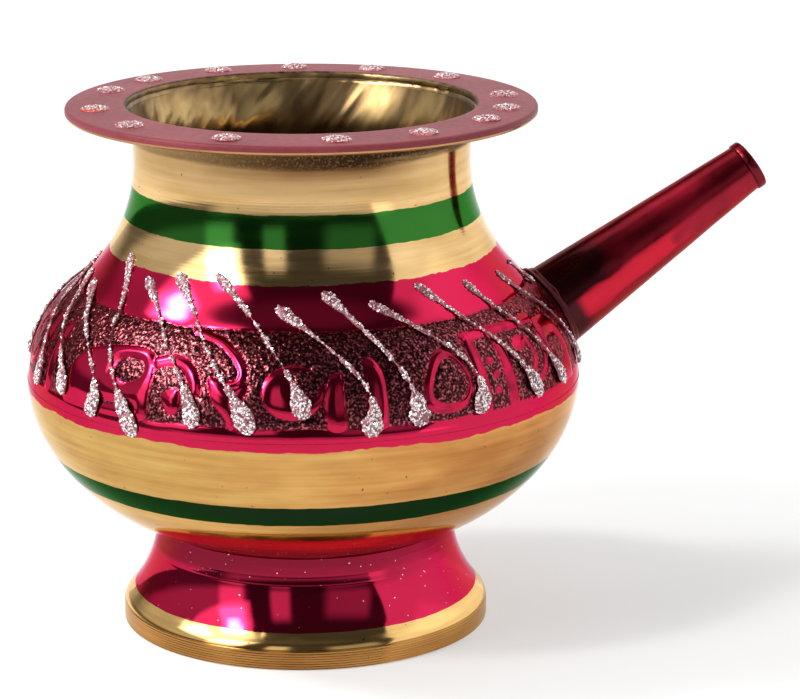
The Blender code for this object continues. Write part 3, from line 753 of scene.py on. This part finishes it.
# Turn of each copy of the forms, and the angles that it may fill
FORM_COPIES = ((0.0, -180.0, 180.0), (162.0, 0.0, 180.0), (-113.0, -226.0, -162.0))
FORM_MARGIN = 1.5
OVAL_MARGIN = 6.5
GROUND_DEPTH = 0.50
PUNCH_DEPTH = 0.26
PUNCH_PITCH = 0.55
PUNCHES_ROUND = 600
WEAR_DEPTH = 0.42
WEAR_REACH = 1.4
FURROW_DEPTH = 0.10
FURROW_PLACE = -0.30
FURROW_WIDTH = 0.20
INSIDE_DINT_DEPTH = 0.25
INSIDE_DINT_HEIGHT = 6.0
INSIDE_DINTS_ROUND = 40
CORNER_REACH = 0.9
DEGREE_MM = 0.855
CHASED_COLUMNS = 1080


def distance_to_segment(u, v, first, last):
    du, dv = np.subtract(last, first)
    share = np.clip(((u - first[0]) * du + (v - first[1]) * dv) / (du * du + dv * dv + 1e-12), 0.0, 1.0)
    return np.hypot(u - first[0] - share * du, v - first[1] - share * dv)


def distance_to_outline(u, v, corners):
    """Signed distance to a closed outline, negative inside."""
    nearest = np.full(u.shape, np.inf)
    inside = np.zeros(u.shape, bool)
    for (u1, v1), (u2, v2) in zip(corners, np.roll(corners, -1, axis=0)):
        nearest = np.minimum(nearest, distance_to_segment(u, v, (u1, v1), (u2, v2)))
        crosses = (v1 > v) != (v2 > v)
        across = u1 + (u2 - u1) * (v - v1) / (v2 - v1 if v2 != v1 else 1.0)
        inside ^= crosses & (u < across)
    return np.where(inside, -nearest, nearest)


def rounded(corners, closed):
    """Corners cut off twice by a short reach, so that an outline or a line bends smoothly."""
    for reach in (CORNER_REACH, CORNER_REACH / 2):
        first = corners if closed else corners[:-1]
        last = np.roll(corners, -1, axis=0) if closed else corners[1:]
        step = last - first
        share = np.minimum(0.25, reach / np.linalg.norm(step, axis=1))[:, None]
        cut = np.stack([first + share * step, last - share * step], 1).reshape(-1, 2)
        corners = cut if closed else np.concatenate([corners[:1], cut, corners[-1:]])
    return corners


def distance_to_form(u, v, kind, places, sizes):
    if kind == "outline":
        return distance_to_outline(u, v, places)
    if kind == "line":
        pairs = zip(places, places[1:])
        return np.min([distance_to_segment(u, v, a, b) for a, b in pairs], axis=0) - sizes[0]
    long, short, tilt = sizes
    cos = math.cos(math.radians(tilt))
    sin = math.sin(math.radians(tilt))
    du = u - places[0][0]
    dv = v - places[0][1]
    return (np.hypot((du * cos + dv * sin) / long, (dv * cos - du * sin) / short) - 1.0) * short


def chased_ground(degrees, z):
    """Signed distance to the punched ground, negative in it, over grids of angle and height."""
    u = degrees * DEGREE_MM
    v = shoulder.arc(z)
    low, high = shoulder.arc((CHASED_LOW_Z, CHASED_HIGH_Z))
    edge = 0.35 * (ring_noise(np.radians(degrees), 90, 71) - 0.5)
    ground = np.abs(v - (low + high) / 2 - edge) - (high - low) / 2
    for shift, start, end in FORM_COPIES:
        for action, kind, places, *sizes in FORMS:
            turned = np.atleast_2d(np.array(places, float)) + (shift, 0.0)
            if turned[:, 0].min() < start or turned[:, 0].max() > end:
                continue
            turned = np.stack([turned[:, 0] * DEGREE_MM, shoulder.arc(turned[:, 1])], -1)
            if kind != "oval":
                turned = rounded(turned, kind == "outline")
            margin = OVAL_MARGIN if kind == "oval" else FORM_MARGIN
            for lap in (-360.0, 0.0, 360.0):
                moved = turned + (lap * DEGREE_MM, 0.0)
                near = (u > moved[:, 0].min() - margin) & (u < moved[:, 0].max() + margin)
                if not near.any():
                    continue
                away = distance_to_form(u[near], v[near], kind, moved, sizes)
                if action == "leave":
                    ground[near] = np.maximum(ground[near], -away)
                else:
                    ground[near] = np.minimum(ground[near], away)
    return ground


def make_shoulder():
    """Shoulder and neck in one sheet, chased on its pink band, holed for the spout."""
    angles = round_angles(CHASED_COLUMNS)
    marks = (PINK_HIGH_Z, *NECK_GREEN)
    top = RIM_SEAT_Z - SEAT_GAP
    fine_z = np.linspace(CHASED_LOW_Z - 0.6, CHASED_HIGH_Z + 0.6, 600)
    fine_arc = shoulder.arc(fine_z)
    band = np.interp(np.linspace(fine_arc[0], fine_arc[-1], 104), fine_arc, fine_z)
    upper = spans(band[-1], 18, marks[0], 14, marks[1], 12, marks[2], 30, top)
    lower = spans(BELLY_Z, 1, BELLY_Z + 0.03, 8, band[0])
    levels = np.concatenate([lower[:-1], band[:-1], upper])
    rows_z = wavy_levels(levels, zip(marks, SHOULDER_WANDER), angles, 41)
    degrees = np.degrees(np.broadcast_to(angles, rows_z.shape))
    ground = chased_ground(np.where(degrees > 180.0, degrees - 360.0, degrees), rows_z)
    sunk = smoothstep(0.10, -0.22, ground)
    along = shoulder.arc(rows_z)
    fine = ring_noise(angles, PUNCHES_ROUND, 81, along / PUNCH_PITCH)
    coarse = ring_noise(angles, PUNCHES_ROUND // 2, 82, along / (2 * PUNCH_PITCH))
    punched = 0.7 * fine + 0.3 * coarse
    worn = WEAR_DEPTH * np.exp(-np.maximum(ground, 0.0) / WEAR_REACH) * smoothstep(-0.3, 0.1, ground)
    furrow = FURROW_DEPTH * np.exp(-((ground - FURROW_PLACE) / FURROW_WIDTH) ** 2)
    lift = -worn - furrow - sunk * (GROUND_DEPTH - PUNCH_DEPTH * punched)
    rise = shoulder.rise(rows_z)
    outside = turn(shoulder.radius(rows_z) + lift * np.sqrt(1 - rise ** 2), rows_z + lift * rise, angles)
    inner_z = np.concatenate([np.linspace(top, WAIST_Z, 12), np.linspace(WAIST_Z, BELLY_Z, 26)[1:]])
    dints = ring_noise(angles, INSIDE_DINTS_ROUND, 83, inner_z[:, None] / INSIDE_DINT_HEIGHT) - 0.5
    flare = MOUTH_FLARE * smoothstep(WAIST_Z, RIM_SEAT_Z, inner_z)
    inner_radius = (shoulder.radius(inner_z, -BODY_WALL) + flare)[:, None] + INSIDE_DINT_DEPTH * dints
    points = np.concatenate([outside, turn(inner_radius, inner_z[:, None], angles)])
    rows = np.full(len(points), 3)
    rows[:len(levels) - 1] = np.array([0, 1, 2, 1])[band_of(levels, marks)]
    materials = (chased_lacquer, neck_brass, neck_green, aged_brass)
    piece = add_rings("shoulder", points, materials, "shoulder_shell", rows)
    marked = np.zeros(points.shape[:2])
    marked[:len(levels)] = sunk
    mark_points(piece, "ground", marked)
    cut_spout_hole(piece.data, materials.index(aged_brass))


# Spout. Its angles start at its upper side. A dint has a place along it, an angle, a length, width and depth.

spout_root = np.array([float(shoulder.radius(SPOUT_Z)), 0.0, SPOUT_Z])
spout_along = np.array([math.cos(SPOUT_ELEVATION), 0.0, math.sin(SPOUT_ELEVATION)])
spout_up = np.array([-math.sin(SPOUT_ELEVATION), 0.0, math.cos(SPOUT_ELEVATION)])
spout_side = np.array([0.0, 1.0, 0.0])
SPOUT_NECK = SPOUT_LENGTH - LIP_LENGTH
SPOUT_DINTS = ((13.0, 1.3, 2.6, 0.5, -0.16), (21.0, 1.9, 1.2, 0.20, 0.16), (26.0, 1.1, 4.0, 0.45, -0.12),
               (33.0, 2.2, 3.0, 0.5, -0.12), (8.0, 2.0, 3.0, 0.6, 0.08))
# Angle round the spout of its streak of painted reflection, and the share of painted shade on its lip
STREAK_ANGLE = math.radians(258.0)
LIP_SHADE = 0.55

# Section of the fillet, in legs along the spout and away from it
SPOUT_FILLET = ((-0.5, -0.4), (-0.35, 1.1), (0.05, 1.15), (0.28, 0.75), (0.45, 0.45), (0.75, 0.28),
                (1.15, 0.08), (1.2, -0.3))


def cut_spout_hole(mesh, cut_material):
    """Take out the wall where the spout's spigot goes through, and close the cut between its two skins."""
    form = bmesh.new()
    form.from_mesh(mesh)
    root = Vector(spout_root) * MM
    along = Vector(spout_along)
    near = []
    for face in form.faces:
        offset = face.calc_center_median() - root
        if offset.x > -20.0 * MM and (offset - along * offset.dot(along)).length < SPOUT_HOLE * MM:
            near.append(face)
    bmesh.ops.delete(form, geom=near, context="FACES")
    edges = [edge for edge in form.edges if edge.is_boundary]
    for vert in {vert for edge in edges for vert in edge.verts}:
        offset = vert.co - root
        depth = along * offset.dot(along)
        vert.co = root + depth + (offset - depth).normalized() * SPOUT_HOLE * MM
    made = bmesh.ops.bridge_loops(form, edges=edges)
    for face in made["faces"]:
        face.material_index = cut_material
        face.smooth = True
    form.to_mesh(mesh)
    form.free()


def round_spout(angles):
    """Directions away from the spout's axis."""
    return np.cos(angles)[..., None] * spout_up + np.sin(angles)[..., None] * spout_side


def on_spout(along, radius, angles):
    """Points at distances along the spout and radii from its axis, one per angle."""
    return spout_root + along[..., None] * spout_along + radius[..., None] * round_spout(angles)


def cone_radius(along):
    return SPOUT_ROOT_RADIUS + (SPOUT_TIP_RADIUS - SPOUT_ROOT_RADIUS) * along / SPOUT_NECK


def meet_shoulder(angles, radius_at):
    """How far along the spout a tube of the given radius leaves the shoulder, at each angle round it."""
    low = np.full(len(angles), -9.0)
    high = np.full(len(angles), 9.0)
    for _ in range(40):
        middle = (low + high) / 2
        place = on_spout(middle, radius_at(middle), angles)
        outside = np.hypot(place[:, 0], place[:, 1]) > shoulder.radius(place[:, 2])
        high = np.where(outside, middle, high)
        low = np.where(outside, low, middle)
    return (low + high) / 2


def make_spout():
    """Tapered tube with a stepped lip and a few dints, saddled on the shoulder round its spigot."""
    angles = round_angles(128)
    columns = len(angles)
    root = meet_shoulder(angles, cone_radius)
    along = root + (SPOUT_NECK - root) * np.linspace(0.0, 1.0, 90)[:, None]
    radius = cone_radius(along)
    for place, angle, length, width, depth in SPOUT_DINTS:
        turned = np.angle(np.exp(1j * (angles - (TAU - angle))))
        radius = radius + depth * np.exp(-((along - place) / length) ** 2 - (turned / width) ** 2)
    radius = radius + 0.06 * (ring_noise(angles, 8, 91, along / 5.0) - 0.5)
    tip_bore = SPOUT_TIP_RADIUS - SPOUT_WALL
    root_bore = SPIGOT_RADIUS - SPOUT_WALL
    lip_along = np.concatenate([SPOUT_NECK + np.array([0.05, 0.12, 0.3, 0.5]),
                                SPOUT_LENGTH - np.array([0.35, 0.15, 0.0, 0.0])])
    lip_radius = np.concatenate([SPOUT_TIP_RADIUS - np.array([0.12, 0.12]),
                                 LIP_RADIUS - np.array([0.06, 0.0, 0.0, 0.10, 0.32]), [tip_bore + 0.1]])
    bore_along = np.linspace(SPOUT_LENGTH - 0.1, -SPIGOT_DEPTH, 20)
    bore = tip_bore + (root_bore - tip_bore) * (SPOUT_LENGTH - bore_along) / (SPOUT_LENGTH + SPIGOT_DEPTH)
    spigot_end = meet_shoulder(angles, lambda s: np.full_like(s, SPIGOT_RADIUS))
    plain_along = np.concatenate([lip_along, bore_along, [-SPIGOT_DEPTH]])
    plain_radius = np.concatenate([lip_radius, bore, [SPIGOT_RADIUS, SPIGOT_RADIUS]])
    all_along = np.concatenate([along, np.repeat(plain_along[:, None], columns, 1), spigot_end[None, :]])
    all_radius = np.concatenate([radius, np.repeat(plain_radius[:, None], columns, 1)])
    points = on_spout(all_along, all_radius, angles)
    rows = np.zeros(len(points))
    rows[len(along) + len(lip_along) - 1:] = 1
    materials = (spout_lacquer, aged_brass)
    piece = add_rings("spout", points, materials, "spout_tube", rows, 50.0, flip=True)
    # Painted reflection: a bright streak along the lower side. Painted shade: the upper side, the root and
    # the lip are darkened
    ragged = value_noise(all_along / 3.5, np.broadcast_to(angles * 2, all_along.shape), 93) - 0.5
    streak = smoothstep(0.34, 0.26, np.abs(angles - STREAK_ANGLE) + 0.16 * ragged)
    streak = streak * smoothstep(2.0, 4.0, all_along) * smoothstep(28.0, 24.0, all_along + 8.0 * ragged)
    mark_points(piece, "painted_reflection", streak)
    upper = smoothstep(-0.40, 0.15, np.cos(angles)) * smoothstep(16.0, 7.0, all_along + 5.0 * ragged)
    painted_shade_and_dark_seam = np.maximum(upper, smoothstep(5.0, 2.0, all_along))
    painted_shade_and_dark_seam[len(along):] = np.maximum(painted_shade_and_dark_seam[len(along):], LIP_SHADE)
    mark_points(piece, "painted_shade_and_dark_seam", painted_shade_and_dark_seam)


def make_spout_braze():
    """Uneven fillet of filler round the spout's root."""
    angles = round_angles(160)
    root = meet_shoulder(angles, cone_radius)
    joint = on_spout(root, cone_radius(root), angles)
    around = round_spout(angles)
    normal = on_shoulder(np.degrees(np.arctan2(joint[:, 1], joint[:, 0])), joint[:, 2])[1]
    away = unit(around - (around * normal).sum(-1)[:, None] * normal)
    climb = spout_along * 0.7 + normal * 0.3
    leg = 0.75 + 0.35 * ring_noise(angles, 26, 95)[:, None]
    points = np.stack([joint + leg * (up * climb + out * away) for up, out in SPOUT_FILLET])
    piece = add_rings("spout_seam", points, (spout_lacquer,), "spout_braze", flip=True)
    # The seam filler takes the dark seam colour all over
    mark_points(piece, "painted_shade_and_dark_seam", np.ones(points.shape[:2]))


# Glitter paste. Dots are given by their angle from the spout, in degrees.

DOT_ANGLES = (-3, -24, -42, -68, -93, -122, -155, 178, 148, 128, 103, 80, 57, 31)
RED_DOT_NUMBER = 8
DOT_CHIPS = 230
DOT_CHIP_SIZE = 0.15
STROKE_CHIP_SIZE = 0.20
STROKE_CHIPS_PER_SQUARE_MM = 7.5
CHIP_HALF_THICKNESS = 0.05
CHIP_TILT = 0.55

# Strokes: angle from the spout's fillet and height above the belly at the head, the same at the tail, the
# bow as a share of the angle between them, and the fullness
FILLET_HALF_ANGLE = 12.64
NEAR_STROKES = (
    (6.0, 21.0, 1.5, 16.5, 0.18, 0.5), (21.5, 21.2, 5.0, 2.0, 0.10, 0.7),
    (39.5, 21.8, 22.7, 2.3, 0.09, 0.8), (56.7, 22.9, 34.0, 2.3, 0.16, 0.9),
    (71.8, 20.9, 53.0, 2.5, 0.47, 1.0), (84.2, 22.9, 66.7, 2.0, 0.32, 1.1),
    (96.3, 20.6, 77.3, 1.1, 0.45, 1.1), (115.0, 25.2, 89.6, 4.2, 0.24, 1.0),
    (127.5, 24.4, 99.7, 1.7, 0.15, 1.1), (138.6, 22.9, 111.6, 2.0, 0.25, 1.0),
    (151.5, 25.4, 124.5, -1.0, 0.10, 1.0), (164.0, 19.5, 137.2, 1.1, 0.39, 1.0),
    (173.0, 20.0, 146.5, 3.0, 0.20, 0.9), (188.0, 21.0, 160.5, 2.0, 0.36, 0.8),
)
FAR_STROKES = [(10.0 + 13.5 * i, 23.0, 30.0 + 13.5 * i, 2.5, 0.25, 0.9) for i in range(10)]

# Width and height of a stroke at shares of its length
STROKE_SHARE = (0.0, 0.02, 0.05, 0.09, 0.15, 0.45, 0.66, 0.75, 0.84, 0.91, 0.97, 1.0)
STROKE_WIDTH = (0.8, 1.6, 2.0, 1.7, 0.95, 0.70, 0.85, 1.7, 2.8, 3.4, 2.6, 0.9)
STROKE_RISE = (0.2, 0.4, 0.5, 0.45, 0.3, 0.28, 0.3, 0.4, 0.6, 0.7, 0.6, 0.2)


def flakes(places, normals, size, draw):
    """Thin six-sided chips lying at odd angles on the paste, as points and face sets."""
    count = len(places)
    tilt = unit(normals + CHIP_TILT * draw.normal(size=(count, 3)))
    side = unit(np.cross(tilt, draw.normal(size=(count, 3))))
    other = np.cross(tilt, side)
    reach = size * (0.6 + 0.8 * draw.random(count))[:, None, None]
    corner = round_angles(6)[None, :, None]
    shape = 0.75 + 0.5 * draw.random((count, 6, 1))
    ring = reach * shape * (np.cos(corner) * side[:, None] + np.sin(corner) * other[:, None])
    thick = CHIP_HALF_THICKNESS * tilt[:, None]
    middle = places[:, None] + ring
    points = np.concatenate([middle + thick, middle - thick], 1).reshape(-1, 3)
    first = np.arange(count)[:, None] * 12
    j = np.arange(6)
    beside = (j + 1) % 6
    top = first + j
    under = first + 6 + j[::-1]
    walls = np.stack([first + 6 + j, first + 6 + beside, first + beside, first + j], -1).reshape(-1, 4)
    return points, top, under, walls


def add_glitter(name, bead, places, normals, size, draw, node, coats):
    """A lumpy bead of paste, given as a grid of points closed along its columns, with chips on it."""
    rows, columns = bead.shape[:2]
    ends = bead[[0, -1]].mean(axis=1)
    base = np.concatenate([bead.reshape(-1, 3), ends])
    body = grid_faces(rows, columns)
    first = fan_faces(0, columns, len(base) - 2, True)
    last = fan_faces((rows - 1) * columns, columns, len(base) - 1, False)
    chips, *chip_faces = flakes(places, normals, size, draw)
    face_sets = [body, first, last] + [faces + len(base) for faces in chip_faces]
    counts = [len(faces) for faces in face_sets]
    kinds = np.concatenate([np.zeros(sum(counts[:3])), np.ones(sum(counts[3:]))])
    add_piece(name, np.concatenate([base, chips]), face_sets, coats, node, kinds, 30.0)


def make_dots():
    """Low domes of paste on the rim, one of them coloured red."""
    middle = (MOUTH_RADIUS + MOUTH_EDGE_ROUND + RIM_RADIUS) / 2
    base = RIM_TOP_Z - RIM_DROOP / 2 - 0.08
    around = round_angles(28)
    sweep = np.linspace(0.0, 0.96, 7)[:, None] * math.pi / 2
    for number, degrees in enumerate(DOT_ANGLES, 1):
        draw = np.random.default_rng(300 + number)
        centre = turn(middle, base, math.radians(degrees))
        lumps = ring_noise(around, 7, 310 + number, sweep * 4)
        reach = DOT_RADIUS * (1.0 + 0.18 * lumps) * np.cos(sweep)
        height = (DOT_HEIGHT - 0.30) * (0.85 + 0.15 * lumps) * np.sin(sweep)
        bead = centre + turn(reach, height, around)
        far = np.sqrt(draw.random(DOT_CHIPS)) * 0.97
        spin = draw.random(DOT_CHIPS) * TAU
        dome = np.sqrt(1 - far ** 2)
        places = centre + turn(DOT_RADIUS * 1.06 * far, (DOT_HEIGHT - 0.32) * dome + 0.05, spin)
        normals = unit(turn(0.6 * far, dome + 0.3, spin))
        coats = (red_paste if number == RED_DOT_NUMBER else dot_paste, flake_rim)
        add_glitter("rim_glitter_%02d" % number, bead, places, normals, DOT_CHIP_SIZE, draw,
                    "rim_glitter_dot_%02d" % number, coats)


def on_shoulder(degrees, z):
    """Points on the shoulder's outside and the outward normals there."""
    angle = np.radians(degrees)
    rise = shoulder.rise(z)
    return turn(shoulder.radius(z), z, angle), turn(np.sqrt(1 - rise ** 2), rise, angle)


def make_stroke(number, head, tail, bow_share, fullness):
    """Bead of paste laid from a head to a drop-shaped tail, thin and broken between them."""
    draw = np.random.default_rng(500 + number)

    def centre_line(share):
        bow = bow_share * (tail[0] - head[0]) * 4 * share * (1 - share)
        degrees = head[0] + (tail[0] - head[0]) * share + bow
        return on_shoulder(degrees, BELLY_Z + head[1] + (tail[1] - head[1]) * share)

    def frame_at(share):
        place, normal = centre_line(share)
        ahead = centre_line(np.minimum(share + 0.01, 1.0))[0] - centre_line(np.maximum(share - 0.01, 0.0))[0]
        return place, normal, unit(np.cross(normal, ahead))

    def size_at(share):
        lumps = value_noise(share * 26, np.full_like(share, number), 520 + number)
        thread = smoothstep(0.15, 0.28, share) * smoothstep(0.78, 0.66, share)
        uneven = 0.85 + 0.3 * lumps - thread * 0.75 * smoothstep(0.62, 0.25, lumps)
        width = np.interp(share, STROKE_SHARE, STROKE_WIDTH) * fullness * uneven
        return width, np.interp(share, STROKE_SHARE, STROKE_RISE) * fullness * (0.6 + 0.4 * uneven)

    share = np.linspace(0.0, 1.0, 72)
    place, normal, across = frame_at(share)
    width, rise = size_at(share)
    sweep = np.linspace(0.0, math.pi, 9)
    lift = np.concatenate([rise[:, None] * np.sin(sweep) + 0.02, np.full((len(share), 1), -0.25)], 1)
    aside = np.concatenate([width[:, None] / 2 * np.cos(sweep), np.zeros((len(share), 1))], 1)
    lumps = 0.12 * (value_noise(share[:, None] * 50, np.arange(10)[None, :] * 0.9, 540 + number) - 0.5)
    lift[:, 1:8] += lumps[:, 1:8] * np.minimum(rise, 0.6)[:, None]
    bead = place[:, None] + normal[:, None] * lift[..., None] + across[:, None] * aside[..., None]

    table = np.linspace(0.0, 1.0, 400)
    weight = np.cumsum(size_at(table)[0])
    length = np.linalg.norm(np.diff(place, axis=0), axis=1).sum()
    count = int(length * weight[-1] / len(table) * STROKE_CHIPS_PER_SQUARE_MM)
    chosen = np.interp(draw.random(count) * weight[-1], weight, table)
    spot, up, side = frame_at(chosen)
    wide, high = size_at(chosen)
    turned = np.arccos(draw.uniform(-0.98, 0.98, count))
    spot = spot + up * (high * np.sin(turned) + 0.03)[:, None] + side * (wide / 2 * np.cos(turned))[:, None]
    facing = unit(up * (np.sin(turned) + 0.25)[:, None] + side * (0.7 * np.cos(turned))[:, None])
    add_glitter("shoulder_glitter_%02d" % number, bead, spot, facing, STROKE_CHIP_SIZE, draw,
                "glitter_stroke_%02d" % number, (paste, flake_silver))


def make_strokes():
    sides = [(-1, stroke) for stroke in NEAR_STROKES] + [(1, stroke) for stroke in FAR_STROKES]
    for number, (side, stroke) in enumerate(sides, 1):
        head_angle, head_height, tail_angle, tail_height, bow_share, fullness = stroke
        head = (side * (FILLET_HALF_ANGLE + head_angle), head_height)
        tail = (side * (FILLET_HALF_ANGLE + tail_angle), tail_height)
        make_stroke(number, head, tail, bow_share, fullness)


make_foot()
make_foot_braze()
make_bowl()
make_shoulder()
make_rim()
make_rim_braze()
make_spout()
make_spout_braze()
make_dots()
make_strokes()


# Floor, light and camera. A panel of light has a strength, then its left, right, low and high edges, each
# with its softness, in degrees to the right of the camera and above the horizon.

LAMP = 6.0
LAMP_CORE = 55.0
PANELS = {
    "near_lamp": (LAMP, (-67.0, 3.0), (-47.0, 3.0), (28.0, 3.0), (50.0, 3.0)),
    "near_core": (LAMP_CORE, (-61.0, 3.0), (-53.0, 3.0), (38.0, 3.0), (48.0, 3.0)),
    "near_glow": (1.1, (-66.0, 3.0), (-47.0, 3.0), (10.0, 3.0), (30.0, 4.0)),
    "far_lamp": (LAMP, (-108.0, 3.0), (-82.0, 3.0), (40.0, 3.0), (55.0, 3.0)),
    "far_core": (LAMP_CORE, (-101.0, 3.0), (-89.0, 3.0), (44.0, 2.0), (52.0, 2.0)),
    "left_glow": (0.45, (-134.0, 12.0), (-45.0, 4.0), (11.0, 3.5), (60.0, 4.0)),
    "left_wall": (0.10, None, (-52.0, 8.0), None, (30.0, 8.0)),
    "front_strip": (0.9, (-26.0, 2.5), (-12.0, 2.5), (13.0, 4.0), (41.0, 6.0)),
    "front_right": (0.40, (15.0, 5.0), (48.0, 4.0), (12.0, 5.0), (38.0, 7.0)),
    "front_low": (0.7, (-60.0, 10.0), (60.0, 5.0), None, (4.5, 1.8)),
    "right_lamp": (0.3, (88.0, 6.0), (134.0, 6.0), (24.0, 5.0), (50.0, 5.0)),
    "overhead": (0.10, None, None, (62.0, 6.0), None),
}
SOFT_BOX = (1.5, (-112.0, 3.0), (-42.0, 2.0), (23.0, 2.5), (57.0, 3.0))
SOFT_BOX_SLOPE = 0.34
RIGHT_PANEL = (1.1, None, (172.0, 8.0), None, (54.0, 4.0))
RIGHT_PANEL_SLOPE = -0.45
CEILING = 0.8
DIM_LIGHT = 0.06
STUDIO_TURN = math.radians(102.0)
WHITE = (1.0, 1.0, 1.0, 1.0)
FLOOR_RADIUS = 3.0
FLOOR_WHITE_SHARE = 0.45

# The camera stands where the photo's perspective puts it, and its aim is given in pixels of that frame
CAMERA_DISTANCE = 573.3
CAMERA_HEIGHT = 198.65
CAMERA_TURN = math.radians(-12.0)
CAMERA_AIM_Z = 48.0
CAMERA_ROLL = 0.0085
FOCAL_PIXELS = 3220.85
AIM_RIGHT_PIXELS = 96.2
AIM_UP_PIXELS = 9.79
FRAME_WIDTH_PIXELS = 800
SENSOR_WIDTH = 36.0


def seen_directly(nodes):
    """Whether a ray comes from the camera or by way of metal or glass."""
    rays = nodes.add("LightPath").outputs
    shiny = nodes.maths("MAXIMUM", rays["Is Glossy Ray"], rays["Is Transmission Ray"])
    return nodes.maths("MAXIMUM", rays["Is Camera Ray"], shiny)


def make_floor():
    """Pale round floor that looks white and keeps the pot's shadow."""
    mesh = bpy.data.meshes.new("floor")
    form = bmesh.new()
    bmesh.ops.create_circle(form, cap_ends=True, segments=96, radius=FLOOR_RADIUS)
    form.to_mesh(mesh)
    form.free()
    floor = bpy.data.objects.new("floor", mesh)
    floor.location = (AXIS_X, 0.0, -0.2 * MM)
    bpy.context.scene.collection.objects.link(floor)
    look = Surface("pale_floor", roughness=0.35)
    mesh.materials.append(look.done(look.mix(look.noise(3.0), (0.90, 0.90, 0.89), (0.94, 0.94, 0.93))))
    white = look.add("Emission", {"Color": WHITE, "Strength": 1.0}).outputs[0]
    matt = look.add("BsdfDiffuse", {"Color": (0.95, 0.95, 0.95, 1.0)}).outputs[0]
    shown = look.add("MixShader", {0: FLOOR_WHITE_SHARE, 1: matt, 2: white}).outputs[0]
    both = look.add("MixShader", {0: seen_directly(look), 1: look.shader.outputs[0], 2: shown}).outputs[0]
    look.put(look.tree.nodes["Material Output"].inputs[0], both)


def make_world():
    """Soft studio: a large box on the upper left, a broad panel on the right, and a dim near side."""
    world = bpy.data.worlds.new("studio")
    bpy.context.scene.world = world
    world.use_nodes = True
    nodes = Nodes(world.node_tree)
    nodes.tree.nodes.clear()
    direction = nodes.add("TexCoord").outputs["Generated"]
    turned = nodes.add("Mapping", {"Vector": direction, "Rotation": (0.0, 0.0, STUDIO_TURN)}).outputs[0]
    x, y, z = nodes.add("SeparateXYZ", {0: turned}).outputs
    azimuth = nodes.times(nodes.maths("ARCTAN2", y, x), math.degrees(1))
    height = nodes.times(nodes.maths("ARCSINE", z), math.degrees(1))
    aside = nodes.maths("ABSOLUTE", azimuth)

    def above(value, edge, soft):
        return nodes.span(value, edge - soft, edge + soft, smooth=True)

    def below(value, edge, soft):
        return nodes.span(value, edge - soft, edge + soft, 1.0, 0.0, smooth=True)

    def panel(strength, left, right, low, high):
        for step, value, edge in ((above, azimuth, left), (below, azimuth, right), (above, height, low),
                                  (below, height, high)):
            if edge:
                strength = nodes.times(step(value, *edge), strength)
        return strength

    tilted = nodes.plus(height, nodes.times(azimuth, SOFT_BOX_SLOPE))
    leaning = nodes.plus(azimuth, nodes.times(height, RIGHT_PANEL_SLOPE))
    lights = [panel(*sizes) for sizes in PANELS.values()]
    lights.append(nodes.times(panel(*SOFT_BOX), above(tilted, 2.6, 2.5)))
    lights.append(nodes.times(panel(*RIGHT_PANEL), above(leaning, 46.5, 1.0)))
    lights.append(nodes.times(above(aside, 100.0, 15.0), above(height, 50.0, 8.0), CEILING))
    total = DIM_LIGHT
    for light in lights:
        total = nodes.plus(light, total)
    studio = nodes.add("Background", {"Color": WHITE, "Strength": total}).outputs[0]
    white = nodes.add("Background", {"Color": WHITE, "Strength": 1.0}).outputs[0]
    backdrop = nodes.times(above(aside, 150.0, 14.0), below(height, 30.0, 8.0), seen_directly(nodes))
    seen = nodes.maths("MAXIMUM", backdrop, nodes.add("LightPath").outputs["Is Camera Ray"])
    both = nodes.add("MixShader", {0: seen, 1: studio, 2: white}).outputs[0]
    nodes.add("OutputWorld", {0: both})


def make_camera():
    """Camera at the photo's viewing angle, turned so that the pot sits in the frame as it does there."""
    pitch = math.atan2(CAMERA_HEIGHT - CAMERA_AIM_Z, CAMERA_DISTANCE)
    right = Vector((1.0, 0.0, 0.0))
    up = Vector((0.0, math.sin(pitch), math.cos(pitch)))
    ahead = Vector((0.0, math.cos(pitch), -math.sin(pitch)))
    ahead = (ahead + right * AIM_RIGHT_PIXELS / FOCAL_PIXELS + up * AIM_UP_PIXELS / FOCAL_PIXELS).normalized()
    right = right - up * CAMERA_ROLL
    right = (right - ahead * right.dot(ahead)).normalized()
    up = right.cross(ahead)
    axes = Matrix((right, up, -ahead)).transposed().to_4x4()
    place = Vector((0.0, -CAMERA_DISTANCE, CAMERA_HEIGHT)) * MM
    camera = bpy.data.objects.new("camera", bpy.data.cameras.new("camera"))
    camera.data.sensor_width = SENSOR_WIDTH
    camera.data.lens = FOCAL_PIXELS * SENSOR_WIDTH / FRAME_WIDTH_PIXELS
    camera.data.clip_start = 0.01
    turned = Matrix.Translation((AXIS_X, 0.0, 0.0)) @ Matrix.Rotation(CAMERA_TURN, 4, "Z")
    camera.matrix_world = turned @ Matrix.Translation(place) @ axes
    bpy.context.scene.collection.objects.link(camera)
    bpy.context.scene.camera = camera


make_floor()
make_world()
make_camera()
bpy.context.scene.view_settings.view_transform = "Standard"
